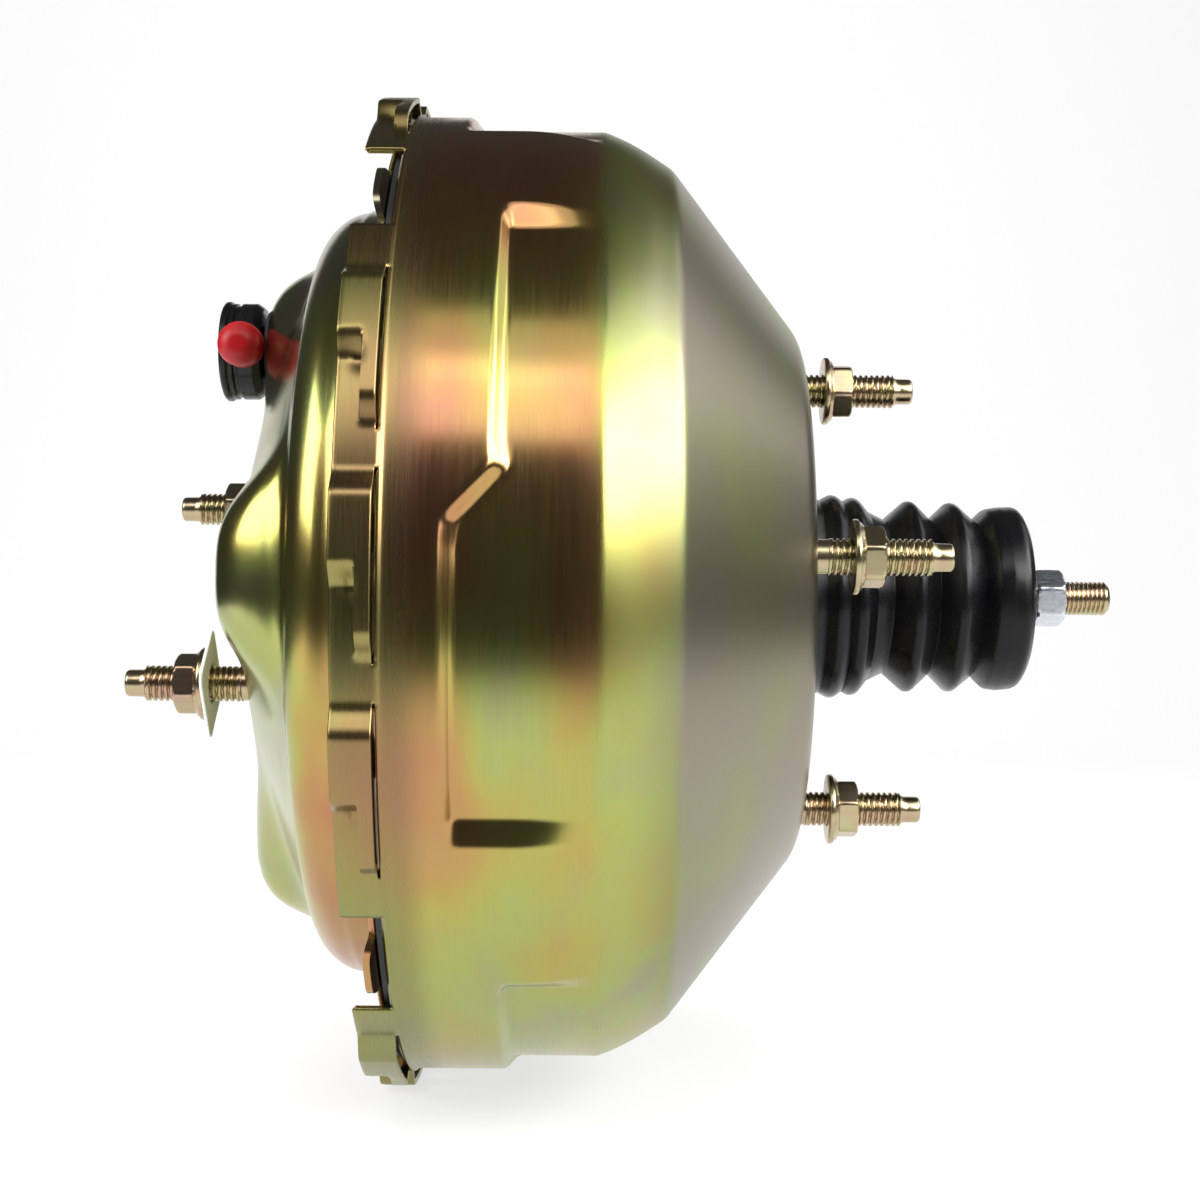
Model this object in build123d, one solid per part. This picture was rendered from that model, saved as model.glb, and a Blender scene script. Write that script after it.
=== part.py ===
from build123d import *
from math import atan2, cos, degrees, hypot, pi, radians, sin, tan
import os

# Frame
# X is the booster axis and +X points at the pedal, Z is up.
# X = 0 is the flat rear face that seats on the firewall. All sizes are in millimetres.
# A clock angle is counted from -Y towards +Z.

# Shared sizes
SHEET = 1.6
STUD_R = 4.76
STUD_SHANK_R = 4.45
STUD_NECK_R = 5.0
DOG_R = 3.7
DOG_LENGTH = 5.6
STUD_SQUARE = 85.7
REAR_STUD_PCD = STUD_SQUARE * 2 ** 0.5
FRONT_STUD_PCD = STUD_SQUARE
CLOCK = 10.0
FRONT_STUD_CLOCK = CLOCK - 45.0
STUD_HOLE_CLEARANCE = 0.05
RUNNING_CLEARANCE = 0.05
SOFT_GAP = 0.3

# Rear shell
DRUM_R = 132.2
DRUM_EDGE_X = -103.5
SHOULDER_X = -62.0
CREASE_X = -36.0
CREASE_R = DRUM_R - 13.2
CREASE_BEND = 5.0
FACE_CORNER_R = 72.5
SHOULDER_BEND = 46.0
FACE_BEND = 14.0
NECK_R = 24.0
NECK_X = 9.0
NECK_BEND = 2.6
SEAT_R = 31.6
SEAT_RUN = 2.6
SEAT_STEP = 0.6
SEAT_BEND = 2.2
RECESS_DEPTH = 3.6
RECESS_FLOOR_R = DRUM_R - RECESS_DEPTH
RECESS_BACK_X = -46.0
RECESS_WALL_RUN = 3.6
RECESS_WIDE_X = -90.4
RECESS_NARROW_X = -79.9
RECESS_STEP_LOW = -2.6
RECESS_STEP_HIGH = 3.8
RECESS_HALF_ANGLE = 35.6
RECESS_RAMP_ANGLE = 3.2

# Twist-lock rim
RIM_EDGE_X = -114.0
BAND_STEP = 1.0
BAND_R = DRUM_R + BAND_STEP
BRIDGE_RISE = 4.1
BRIDGE_R = BAND_R + BRIDGE_RISE
STATIONS = 16
STATION_PITCH = 360.0 / STATIONS
BRIDGE_START = CLOCK + 2.5
GAP_EVERY = 4
GAP_START = 1.4
GAP_END = 16.8
GAP_LUG_START = 5.0
GAP_LUG_END = 14.2
BRIDGE_RAMP = 3.3
BRIDGE_PLATEAU = 5.6
BRIDGE_DROP = 2.8
TONGUE_END = 15.8
BRIDGE_LENGTH = 18.7
BRIDGE_FRONT_X = -113.6
TONGUE_FRONT_X = -108.2
SLIT_X = -104.5

# Front shell
FLANGE_SETBACK = 3.4
FLANGE_R = BAND_R - FLANGE_SETBACK
FLANGE_X = -108.2
FLANGE_WIDTH = 22.6
WALL_R = FLANGE_R - FLANGE_WIDTH
BROW_X = -124.5
VALLEY_X = -133.0
VALLEY_R = 90.0
FRONT_FACE_X = -148.0
BOSS_R = 51.0
PILOT_R = 20.65
PILOT_DEPTH = 16.0
ROD_HOLE_R = 9.5
LOBE_FOOT = 46.0
LOBE_SECTIONS = [(-118.0, 106.9, 31.0), (-138.0, 97.8, 27.0), (-149.5, 83.0, 19.0)]
LUG_R = FLANGE_R + 5.4
GAP_LUG_R = FLANGE_R + 3.8
GAP_LUG_LEAN = 16.0

# Plates, seals and bearing
REAR_PLATE_THICK = 3.0
REAR_PLATE_R = 67.0
FRONT_PLATE_THICK = 2.5
FRONT_PLATE_R = 49.0
PLATE_BORE_R = SEAT_R + 1.6
STUD_HEAD_R = 7.6
STUD_HEAD_THICK = 2.5
BEARING_FACE_X = 8.5
BEARING_INNER_X = 1.0
SEAL_RETAINER_R = PLATE_BORE_R + 4.8
SEAL_RETAINER_THICK = 1.5

# Nuts and card
NUT_FLANGE_R = 9.75
NUT_FLANGE_THICK = 3.0
NUT_FLATS = 14.3
NUT_HEIGHT = 8.4
NUT_BORE_CLEARANCE = 0.04
REAR_NUT_X = 9.5
REAR_STUD_TIP_X = 35.5
FRONT_NUT_X = -159.6
FRONT_STUD_TIP_X = -181.5
CARD_SIDE = 22.0
CARD_THICK = 1.0
CARD_TURN = 38.0
CARD_CORNER = 3.0

# Power piston
STROKE = 32.0
HUB_R = 19.0
HUB_REAR_X = 57.0
HUB_STEP_R = 24.0
HUB_HEAD_R = 30.0
HUB_FRONT_X = -62.0
HUB_HEAD_X = -54.0
HUB_STEP_X = -45.0
REACTION_R = 16.5
REACTION_FLOOR_X = -48.0
REACTION_DISC_THICK = 4.0
ROD_HEAD_THICK = 4.5
PLUNGER_R = 8.0
VALVE_BORE_R = 15.5
VALVE_BORE_X = -10.0
PLATE_HOLE_CLEARANCE = 0.10
LOCK_RING_X = -50.0
LOCK_RING_THICK = 2.0
OUTPUT_ROD_R = 6.0
OUTPUT_SCREW_R = 4.0
OUTPUT_TIP_X = -151.0
OUTPUT_ROD_X = -140.0

# Pedal rod and control valve
VALVE_TRAVEL = 2.5
ROD_R = 4.76
ROD_SHANK_R = 4.45
ROD_NECK_R = 3.6
BALL_R = 5.5
BALL_X = -14.0
ROD_TIP_X = 90.5
ROD_COLLAR_R = 10.4
ROD_COLLAR_X = 33.5
JAM_NUT_X = 68.9
JAM_NUT_THICK = 8.5
POPPET_SEAT_X = -2.6
POPPET_LIP_X = -0.2
POPPET_RETAINER_X = 14.0
POPPET_RETAINER_THICK = 4.0
FILTER_X = 38.0
FILTER_LENGTH = 12.0
SILENCER_LENGTH = 4.0
FILTER_BORE_R = 8.4

# Boot
BOOT_WALL = 1.4
BOOT_OUTLINE = [
    (-0.1, 27.2), (3.6, 28.3), (7.3, 26.0), (11.0, 27.8), (14.1, 25.7), (17.0, 27.1),
    (21.0, 23.6), (26.1, 21.6), (32.9, 26.2), (39.0, 21.4), (45.0, 26.2), (52.5, 21.7),
    (56.4, 25.4), (65.6, 25.4), (67.0, 23.6), (67.0, 10.0), (68.4, 6.6),
]

# Check valve
VALVE_CLOCK = CLOCK + 90.0
VALVE_CENTRE_R = 71.0
VALVE_R = 14.0
VALVE_BACK_X = -152.6
VALVE_FRONT_X = -164.4
VALVE_STEM_R = 7.4
VALVE_WALL = 2.0
GROMMET_HOLE_R = 9.3
GROMMET_FLANGE_R = 12.0
BARB_X = -156.9
BARB_R = 4.4
BARB_BORE_R = 2.6
BARB_REACH = 23.0
CAP_R = 6.4
CAP_LENGTH = 9.5
CAP_WALL = 1.2


# Profile helpers

def offset_corners(points, distance):
    """Shift a path of (x, r, bend) corners sideways, to its left where distance is positive."""
    moved = []
    for i, (x, r, bend) in enumerate(points):
        normals = []
        for a, b in ((i - 1, i), (i, i + 1)):
            if a < 0 or b >= len(points):
                continue
            dx, dr = points[b][0] - points[a][0], points[b][1] - points[a][1]
            size = hypot(dx, dr)
            normals.append((-dr / size, dx / size))
        if len(normals) == 1:
            normals.append(normals[0])
        (ax, ar), (bx, br) = normals
        share = distance / (1.0 + ax * bx + ar * br)
        turn = ax * br - ar * bx
        bent = bend - distance if turn > 0 else bend + distance
        moved.append((x + (ax + bx) * share, r + (ar + br) * share, max(bent, 0.0) if bend else 0.0))
    return moved


def bent_edges(points):
    """Straight edges between (x, r, bend) corners, with a tangent arc at each bend."""
    edges, last = [], None
    count = len(points)
    for i, (x, r, bend) in enumerate(points):
        corner = Vector(x, 0, r)
        start = end = corner
        middle = None
        if bend > 0 and 0 < i < count - 1:
            before = (Vector(points[i - 1][0], 0, points[i - 1][1]) - corner).normalized()
            after = (Vector(points[i + 1][0], 0, points[i + 1][1]) - corner).normalized()
            half = before.get_angle(after) / 2.0
            run = bend / tan(radians(half))
            start = corner + before * run
            end = corner + after * run
            inward = (before + after).normalized()
            middle = corner + inward * (bend / sin(radians(half)) - bend)
        if last is not None and (start - last).length > 1e-6:
            edges.append(Line(last, start))
        if middle is not None:
            edges.append(ThreePointArc(start, middle, end))
        last = end
    return edges


def turned_path(points):
    """Solid of revolution about the booster axis from a closed loop of (x, r, bend) corners."""
    edges = bent_edges(points)
    edges.append(Line(Vector(points[-1][0], 0, points[-1][1]), Vector(points[0][0], 0, points[0][1])))
    return revolve(make_face(Wire(edges)), Axis.X)


def turned(points):
    """Solid of revolution about the booster axis from a closed polygon of (x, r) points."""
    return revolve(make_face(Polyline(*[Vector(x, 0, r) for x, r in points], close=True)), Axis.X)


def turned_sheet(points, thickness):
    """Turned sheet of even thickness that lies to the left of a path of (x, r, bend) corners."""
    far = offset_corners(points, thickness)
    edges = bent_edges(points) + bent_edges(far)
    edges.append(Line(Vector(points[0][0], 0, points[0][1]), Vector(far[0][0], 0, far[0][1])))
    edges.append(Line(Vector(points[-1][0], 0, points[-1][1]), Vector(far[-1][0], 0, far[-1][1])))
    return revolve(make_face(Wire(edges)), Axis.X)


def ring(x0, x1, inner_r, outer_r):
    """Plain ring between two stations on the booster axis."""
    return turned([(x0, inner_r), (x1, inner_r), (x1, outer_r), (x0, outer_r)])


def rod(x0, x1, radius):
    """Plain round bar on the booster axis."""
    return turned([(x0, 0), (x1, 0), (x1, radius), (x0, radius)])


def polar(radius, clock):
    """Point in the YZ plane at a radius and a clock angle."""
    return (-radius * cos(radians(clock)), radius * sin(radians(clock)))


def at_clock(shape, radius, clock):
    """Copy of a shape moved off the axis to a radius and a clock angle."""
    y, z = polar(radius, clock)
    return Pos(0, y, z) * shape


def spun(shape, clock):
    """Copy of a shape turned about the booster axis by a clock angle."""
    return Rot(-clock, 0, 0) * shape


def slab(points, x0, x1):
    """Prism along the booster axis from a closed polygon of (y, z) points."""
    face = make_face(Polyline(*[Vector(x0, y, z) for y, z in points], close=True))
    return extrude(face, amount=x1 - x0, dir=(1, 0, 0))


def arc_slab(start, end, inner_r, outer_r, x0, x1):
    """Piece of a ring between two clock angles."""
    middle = (start + end) / 2.0
    a, b = Vector(x0, *polar(outer_r, start)), Vector(x0, *polar(outer_r, end))
    c, d = Vector(x0, *polar(inner_r, end)), Vector(x0, *polar(inner_r, start))
    edges = [
        ThreePointArc(a, Vector(x0, *polar(outer_r, middle)), b),
        Line(b, c),
        ThreePointArc(c, Vector(x0, *polar(inner_r, middle)), d),
        Line(d, a),
    ]
    return extrude(make_face(Wire(edges)), amount=x1 - x0, dir=(1, 0, 0))


def hexagon(flats, x0, x1, turn=0.0):
    """Hexagonal prism on the booster axis."""
    radius = flats / 2.0 / cos(pi / 6.0)
    return slab([polar(radius, turn + 60 * i) for i in range(6)], x0, x1)


def coil(x0, x1, radius, wire, turns):
    """Round-wire compression spring on the booster axis."""
    length = x1 - x0 - wire
    helix = Helix(pitch=length / turns, height=length, radius=radius, center=(0, 0, 0), direction=(0, 0, 1))
    start = helix @ 0
    section = Plane(origin=start, z_dir=helix % 0) * Circle(wire / 2.0)
    spring = sweep(section, path=helix).solid()
    if spring.volume < 0:
        spring = Solid(spring.wrapped.Reversed())
    return Pos(x0 + wire / 2.0, 0, 0) * (Rot(0, 90, 0) * spring)


# Housing pieces

def recess_cutter(floor_r, grow):
    """Stepped pocket that leaves the drum at a lower radius, with sloping walls all round."""
    half, ramp, top_r = RECESS_HALF_ANGLE, RECESS_RAMP_ANGLE, DRUM_R + 8.0
    rise = (top_r - floor_r) / (DRUM_R - RECESS_FLOOR_R)
    extra = degrees(grow / DRUM_R) * 0.6

    def wedge(x_edge, low, high, ramp_low, ramp_high):
        wall = [
            (x_edge + RECESS_WALL_RUN - grow, floor_r),
            (x_edge + RECESS_WALL_RUN - grow - RECESS_WALL_RUN * rise, top_r),
            (RECESS_BACK_X + 20, top_r),
            (RECESS_BACK_X + 20, floor_r),
        ]
        sector = slab(
            [
                (0.0, 0.0),
                polar(floor_r, low - extra),
                polar(top_r, low - extra - ramp_low * rise),
                polar(top_r * 1.5, (low * 2 + high) / 3.0),
                polar(top_r * 1.5, (low + high * 2) / 3.0),
                polar(top_r, high + extra + ramp_high * rise),
                polar(floor_r, high + extra),
            ],
            x_edge - 40.0,
            RECESS_BACK_X + 20,
        )
        return turned(wall) & sector

    wide = wedge(RECESS_WIDE_X, -half + ramp, RECESS_STEP_LOW, ramp, 0.0)
    narrow = wedge(RECESS_NARROW_X, RECESS_STEP_LOW - 1.0, half - ramp, 0.0, ramp)
    run = RECESS_WALL_RUN - grow
    low_z, high_z = DRUM_R * sin(radians(RECESS_STEP_LOW)), DRUM_R * sin(radians(RECESS_STEP_HIGH))
    step = make_face(
        Polyline(
            Vector(RECESS_WIDE_X + run, -floor_r, low_z - 0.5),
            Vector(RECESS_NARROW_X + run + 2.0, -floor_r, low_z - 0.5),
            Vector(RECESS_NARROW_X + run + 2.0, -floor_r, high_z + grow * 0.5),
            Vector(RECESS_NARROW_X + run, -floor_r, high_z + grow * 0.5),
            close=True,
        )
    )
    diagonal = extrude(step, amount=12.0, dir=(0, -1, 0), taper=0)
    diagonal -= rod(RECESS_WIDE_X - 10, RECESS_BACK_X, floor_r)
    return wide + narrow + diagonal


def rear_outline():
    """Outer corners of the rear shell from the rim to the neck."""
    return [
        (DRUM_EDGE_X, DRUM_R, 0),
        (SHOULDER_X, DRUM_R, SHOULDER_BEND),
        (CREASE_X, CREASE_R, CREASE_BEND),
        (0.0, FACE_CORNER_R, FACE_BEND),
        (0.0, SEAT_R, SEAT_BEND),
        (-SEAT_STEP, SEAT_R - SEAT_RUN, SEAT_BEND),
        (-SEAT_STEP, NECK_R, NECK_BEND),
        (NECK_X, NECK_R, 0),
    ]


def bridge(start):
    """Raised strip of the rim over one lug, with the long rear tongue."""
    base, top = BAND_R - SHEET, BRIDGE_R - SHEET

    def strip(x0, x1, drop_start, drop_end):
        up, down, foot = start - BRIDGE_RAMP, start - drop_start, start - drop_end
        steps = [up + (down - up) * s / 4.0 for s in range(5)]
        outer = [polar(BAND_R, start)] + [polar(BRIDGE_R, a) for a in steps] + [polar(BAND_R, foot)]
        inner = [polar(base, foot)] + [polar(top, a) for a in steps[::-1]] + [polar(base, start)]
        return slab(outer + inner, x0, x1)

    short = strip(BRIDGE_FRONT_X, TONGUE_FRONT_X, BRIDGE_RAMP + BRIDGE_PLATEAU,
                  BRIDGE_RAMP + BRIDGE_PLATEAU + BRIDGE_DROP)
    tongue = strip(TONGUE_FRONT_X, SLIT_X, TONGUE_END, BRIDGE_LENGTH)
    return short + tongue


def bridge_starts():
    """Clock angle of each bridge and of each gap in the rim."""
    bridges, gaps = [], []
    for k in range(STATIONS):
        angle = BRIDGE_START + STATION_PITCH * k
        (gaps if k % GAP_EVERY == 2 else bridges).append(angle)
    return bridges, gaps


def rim_band():
    """Rim skirt of the rear shell, cut away at the gaps and lanced at the bridges."""
    bridges, gaps = bridge_starts()
    band = ring(RIM_EDGE_X, DRUM_EDGE_X + 0.4, BAND_R - SHEET, BAND_R)
    for angle in gaps:
        band -= arc_slab(
            angle - GAP_START, angle - GAP_END, BAND_R - 4, BAND_R + 4, RIM_EDGE_X - 1, DRUM_EDGE_X
        )
    front_arc = BRIDGE_RAMP + BRIDGE_PLATEAU + BRIDGE_DROP
    for angle in bridges:
        band -= arc_slab(angle, angle - front_arc, BAND_R - 4, BAND_R + 4, RIM_EDGE_X - 1, DRUM_EDGE_X)
        band -= arc_slab(angle, angle - BRIDGE_LENGTH, BAND_R - 4, BAND_R + 4, TONGUE_FRONT_X, DRUM_EDGE_X)
    for angle in bridges:
        band += bridge(angle)
    return band


def rear_shell():
    """Deep drum with four stepped recesses, conical back and the lanced rim."""
    outline = rear_outline()
    outer = turned_path(outline + [(NECK_X, 0, 0), (DRUM_EDGE_X, 0, 0)])
    inside = offset_corners(outline, -SHEET)
    inside[0] = (DRUM_EDGE_X - 1.0, inside[0][1], 0)
    inside[-1] = (NECK_X + 1.0, inside[-1][1], 0)
    inner = turned_path(inside + [(NECK_X + 1.0, 0, 0), (DRUM_EDGE_X - 1.0, 0, 0)])
    outer_cut, inner_cut = recess_cutter(RECESS_FLOOR_R, 0.0), recess_cutter(RECESS_FLOOR_R - SHEET, SHEET)
    for k in range(4):
        outer -= spun(outer_cut, CLOCK + 90 * k)
        inner -= spun(inner_cut, CLOCK + 90 * k)
    shell = outer - inner + rim_band()
    for k in range(4):
        hole = rod(-SHEET - 1, 1, STUD_NECK_R + STUD_HOLE_CLEARANCE)
        shell -= at_clock(hole, REAR_STUD_PCD / 2, CLOCK + 90 * k)
    return shell


def lobe(shrink, shift):
    """One radial swelling of the front cover, pointing at clock angle zero."""
    sections = []
    for x, tip, half in LOBE_SECTIONS:
        tip, half = tip - shrink, half - shrink
        foot, bend = LOBE_FOOT + shrink, tip - half
        a, b = Vector(x + shift, -foot, -half), Vector(x + shift, -bend, -half)
        c, d = Vector(x + shift, -bend, half), Vector(x + shift, -foot, half)
        edges = [Line(a, b), ThreePointArc(b, Vector(x + shift, -tip, 0), c), Line(c, d), Line(d, a)]
        sections.append(make_face(Wire(edges)))
    return loft(sections)


def front_outline():
    """Outer corners of the front cover from its flange to the pilot cup."""
    return [
        (FLANGE_X, WALL_R, 3.0),
        (BROW_X, WALL_R, 8.0),
        (VALLEY_X, VALLEY_R, 40.0),
        (FRONT_FACE_X, BOSS_R, 10.0),
        (FRONT_FACE_X, PILOT_R, 2.0),
        (FRONT_FACE_X + PILOT_DEPTH, PILOT_R, 1.8),
        (FRONT_FACE_X + PILOT_DEPTH, 0.0, 0.0),
    ]


def flange_lug(start, end, top_r):
    """Lug on the edge of the front flange between two clock angles."""
    return arc_slab(start, end, FLANGE_R - 1.0, top_r, FLANGE_X, FLANGE_X + SHEET)


def front_shell():
    """Lobed cover with its pilot cup, stud holes, valve hole and twist-lock lugs."""
    path = front_outline()
    back_x = FLANGE_X + SHEET
    outer = turned_path([(back_x, FLANGE_R, 0), (FLANGE_X, FLANGE_R, 0)] + path + [(back_x, 0, 0)])
    inside = offset_corners([(FLANGE_X, FLANGE_R, 0)] + path, SHEET)
    inner = turned_path([(back_x + 1, inside[1][1], 0)] + inside[2:] + [(back_x + 1, 0, 0)])
    for k in range(4):
        outer += spun(lobe(0.0, 0.0), CLOCK + 90 * k)
        inner += spun(lobe(SHEET, SHEET), CLOCK + 90 * k)
    shell = outer - inner
    shell -= rod(FRONT_FACE_X - 5, back_x, ROD_HOLE_R)
    for turn in (0, 180):
        hole = rod(FRONT_FACE_X - 1, FRONT_FACE_X + SHEET + 1, STUD_NECK_R + STUD_HOLE_CLEARANCE)
        shell -= at_clock(hole, FRONT_STUD_PCD / 2, FRONT_STUD_CLOCK + turn)
    valve_hole = rod(LOBE_SECTIONS[-1][0] - 2, LOBE_SECTIONS[-1][0] + SHEET + 2, GROMMET_HOLE_R)
    shell -= at_clock(valve_hole, VALVE_CENTRE_R, VALVE_CLOCK)
    bridges, gaps = bridge_starts()
    for angle in bridges:
        start = angle - BRIDGE_RAMP - 0.4
        shell += flange_lug(start, start - BRIDGE_PLATEAU + 0.8, LUG_R)
    for angle in gaps:
        middle = angle - (GAP_LUG_START + GAP_LUG_END) / 2.0
        lug = Rot(middle, 0, 0) * flange_lug(angle - GAP_LUG_START, angle - GAP_LUG_END, GAP_LUG_R + 1.2)
        lean = Pos(FLANGE_X, -FLANGE_R, 0) * Rot(0, 0, -GAP_LUG_LEAN) * Pos(-FLANGE_X, FLANGE_R, 0)
        shell += Rot(-middle, 0, 0) * (lean * lug)
    return shell


def stud(head_x, neck_x, tip_x, free_x):
    """Headed stud with a pressed neck and a dog point; only the free thread has the full thread radius."""
    way = 1.0 if tip_x > head_x else -1.0
    under = head_x + way * STUD_HEAD_THICK
    dog = tip_x - way * DOG_LENGTH
    return turned(
        [
            (head_x, 0), (head_x, STUD_HEAD_R), (under, STUD_HEAD_R), (under, STUD_NECK_R),
            (neck_x, STUD_NECK_R), (neck_x, STUD_SHANK_R), (free_x, STUD_SHANK_R), (free_x, STUD_R),
            (dog - way * 0.8, STUD_R), (dog, DOG_R), (tip_x - way * 0.7, DOG_R),
            (tip_x, DOG_R - 0.7), (tip_x, 0),
        ]
    )


def rear_stud_places():
    """Radius and clock angle of each firewall stud."""
    return [(REAR_STUD_PCD / 2, CLOCK + 90 * k) for k in range(4)]


def front_stud_places():
    """Radius and clock angle of each master-cylinder stud."""
    return [(FRONT_STUD_PCD / 2, FRONT_STUD_CLOCK + turn) for turn in (0, 180)]


def group(shape, places):
    """Separate copies of one fastener, kept as one node."""
    return Compound(children=[at_clock(shape, r, c) for r, c in places])


def flange_nut(face_x, way):
    """Hexagon nut with its round flange, flange face at face_x and body towards way."""
    top = face_x + way * NUT_HEIGHT
    corner = NUT_FLATS / 2.0 / cos(pi / 6.0)
    body = hexagon(NUT_FLATS, min(face_x, top), max(face_x, top), 30.0)
    crown = turned(
        [(face_x, 0), (top, 0), (top, corner - 1.0), (top - way * 0.9, corner + 0.3), (face_x, corner + 0.3)]
    )
    cup = turned(
        [
            (face_x, 0), (face_x, NUT_FLANGE_R), (face_x + way * 1.4, NUT_FLANGE_R),
            (face_x + way * NUT_FLANGE_THICK, corner - 0.6), (face_x + way * NUT_FLANGE_THICK, 0),
        ]
    )
    nut = (body & crown) + cup
    bore = rod(min(face_x, top) - 1, max(face_x, top) + 1, STUD_SHANK_R + NUT_BORE_CLEARANCE)
    return nut - bore


def rear_plate():
    """Reinforcement ring inside the rear face, holding the stud heads."""
    plate = ring(-SHEET - REAR_PLATE_THICK, -SHEET, PLATE_BORE_R, REAR_PLATE_R)
    for r, clock in rear_stud_places():
        hole = rod(-SHEET - REAR_PLATE_THICK - 1, 0, STUD_NECK_R + STUD_HOLE_CLEARANCE)
        plate -= at_clock(hole, r, clock)
    return plate


def front_plate():
    """Reinforcement ring inside the front face, seat of the return spring."""
    x0 = FRONT_FACE_X + SHEET
    plate = ring(x0, x0 + FRONT_PLATE_THICK, PILOT_R + SHEET + 0.6, FRONT_PLATE_R)
    for r, clock in front_stud_places():
        plate -= at_clock(rod(x0 - 1, x0 + 6, STUD_NECK_R + STUD_HOLE_CLEARANCE), r, clock)
    return plate


def stud_card():
    """Blank square card pushed over the near front stud, behind its nut."""
    side = CARD_SIDE / 2.0
    corners = [(-side, -side), (side, -side), (side, side), (-side, side)]
    card = slab(corners, FRONT_NUT_X, FRONT_NUT_X + CARD_THICK)
    card = fillet(card.edges().filter_by(Axis.X), CARD_CORNER)
    card -= rod(FRONT_NUT_X - 1, FRONT_NUT_X + 3, STUD_R + 0.15)
    return at_clock(Rot(CARD_TURN, 0, 0) * card, *front_stud_places()[0])


def rod_seal():
    """Lip seal of the output rod in the floor of the pilot cup."""
    floor = FRONT_FACE_X + PILOT_DEPTH
    lip_r, edge_r = OUTPUT_ROD_R + SOFT_GAP, ROD_HOLE_R - SOFT_GAP
    back = floor + SHEET + SOFT_GAP
    return turned(
        [
            (floor - 1.0, lip_r), (floor - 1.0, edge_r), (back, edge_r), (back, edge_r + 5.0),
            (back + 3.0, edge_r + 5.0), (back + 3.0, lip_r + 2.2), (back + 5.0, lip_r),
        ]
    )


def rod_seal_retainer():
    """Pressed cup that holds the output-rod seal against the pilot cup."""
    back = FRONT_FACE_X + PILOT_DEPTH + SHEET
    outer = ROD_HOLE_R + 9.5
    return turned(
        [
            (back, outer), (back, outer - 4.2), (back + 3.6, outer - 4.2),
            (back + 3.6, ROD_HOLE_R + 0.6), (back + 4.6, ROD_HOLE_R + 0.6),
            (back + 4.6, outer - 3.2), (back + 1.0, outer - 3.2), (back + 1.0, outer),
        ]
    )


def hub_bearing():
    """Plastic guide ring of the power piston in the neck."""
    bore = NECK_R - SHEET
    return ring(BEARING_INNER_X, BEARING_FACE_X, HUB_R + RUNNING_CLEARANCE, bore)


def hub_seal():
    """Rubber seal of the power piston, inside the neck ahead of the bearing."""
    bore, inner = NECK_R - SHEET - SOFT_GAP, HUB_R + SOFT_GAP
    front, rear = -SHEET - REAR_PLATE_THICK + SOFT_GAP, BEARING_INNER_X - SOFT_GAP
    return turned(
        [
            (front, bore), (rear, bore), (rear, inner + 1.6),
            (rear - 1.2, inner), (front + 1.2, inner), (front, inner + 1.2),
        ]
    )


def hub_seal_retainer():
    """Flat washer that keeps the hub seal in place."""
    back = -SHEET - REAR_PLATE_THICK
    return ring(back - SEAL_RETAINER_THICK, back, HUB_R + 0.9, SEAL_RETAINER_R)


def boot():
    """Rubber bellows from the neck to the pedal rod."""
    far = offset_corners([(x, r, 0) for x, r in BOOT_OUTLINE], -BOOT_WALL)
    inner = [(x, max(r, ROD_R + 0.4)) for x, r, _ in far]
    inner[0] = (BOOT_OUTLINE[0][0], NECK_R + NECK_BEND + 0.35)
    inner[1] = (NECK_BEND - SEAT_STEP + 0.6, NECK_R + SOFT_GAP)
    inner[2] = (inner[2][0], NECK_R + SOFT_GAP)
    inner[-1] = (BOOT_OUTLINE[-1][0], ROD_R + 0.4)
    return turned(BOOT_OUTLINE + inner[::-1])


def diaphragm():
    """Rolling rubber diaphragm from its bead under the front flange to the power piston."""
    bead = ring(-106.3, -100.0, DRUM_R - 7.8, DRUM_R - 2.0)
    wall = turned_sheet(
        [
            (-51.6, HUB_STEP_R + SOFT_GAP, 0), (-51.6, 51.2, 5.0), (-41.8, 65.2, 5.0),
            (-41.8, DRUM_R - 16.2, 4.0), (-56.5, DRUM_R - 7.6, 8.0), (-102.0, DRUM_R - 7.6, 0),
        ],
        -1.4,
    )
    return bead + wall


# Power piston pieces

def piston_hub():
    """Plastic hub that carries the plate and houses the control valve."""
    body = turned(
        [
            (HUB_FRONT_X, 0), (HUB_FRONT_X, HUB_HEAD_R), (HUB_HEAD_X, HUB_HEAD_R), (HUB_HEAD_X, HUB_STEP_R),
            (HUB_STEP_X, HUB_STEP_R), (HUB_STEP_X, HUB_R), (HUB_REAR_X, HUB_R), (HUB_REAR_X, 0),
        ]
    )
    body -= rod(HUB_FRONT_X - 1, REACTION_FLOOR_X, REACTION_R)
    body -= rod(REACTION_FLOOR_X - 1, VALVE_BORE_X + 1, PLUNGER_R)
    body -= rod(VALVE_BORE_X, HUB_REAR_X + 1, VALVE_BORE_R)
    return body


def diaphragm_plate():
    """Dished steel plate clamped on the hub step."""
    return turned_sheet(
        [
            (HUB_HEAD_X, HUB_STEP_R + PLATE_HOLE_CLEARANCE, 0), (HUB_HEAD_X, 52.0, 4.0), (-44.2, 66.0, 4.0),
            (-44.2, DRUM_R - 26.2, 5.0), (-54.0, DRUM_R - 21.2, 0),
        ],
        -SHEET,
    )


def plate_lock_ring():
    """Ring that locks the plate and the diaphragm on the hub."""
    bore = HUB_STEP_R + RUNNING_CLEARANCE
    return ring(LOCK_RING_X + 0.2, LOCK_RING_X + LOCK_RING_THICK, bore, HUB_STEP_R + 5.0)


def reaction_disc():
    """Rubber disc between the plunger and the output rod."""
    return rod(REACTION_FLOOR_X - REACTION_DISC_THICK, REACTION_FLOOR_X - SOFT_GAP, REACTION_R - SOFT_GAP)


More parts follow.
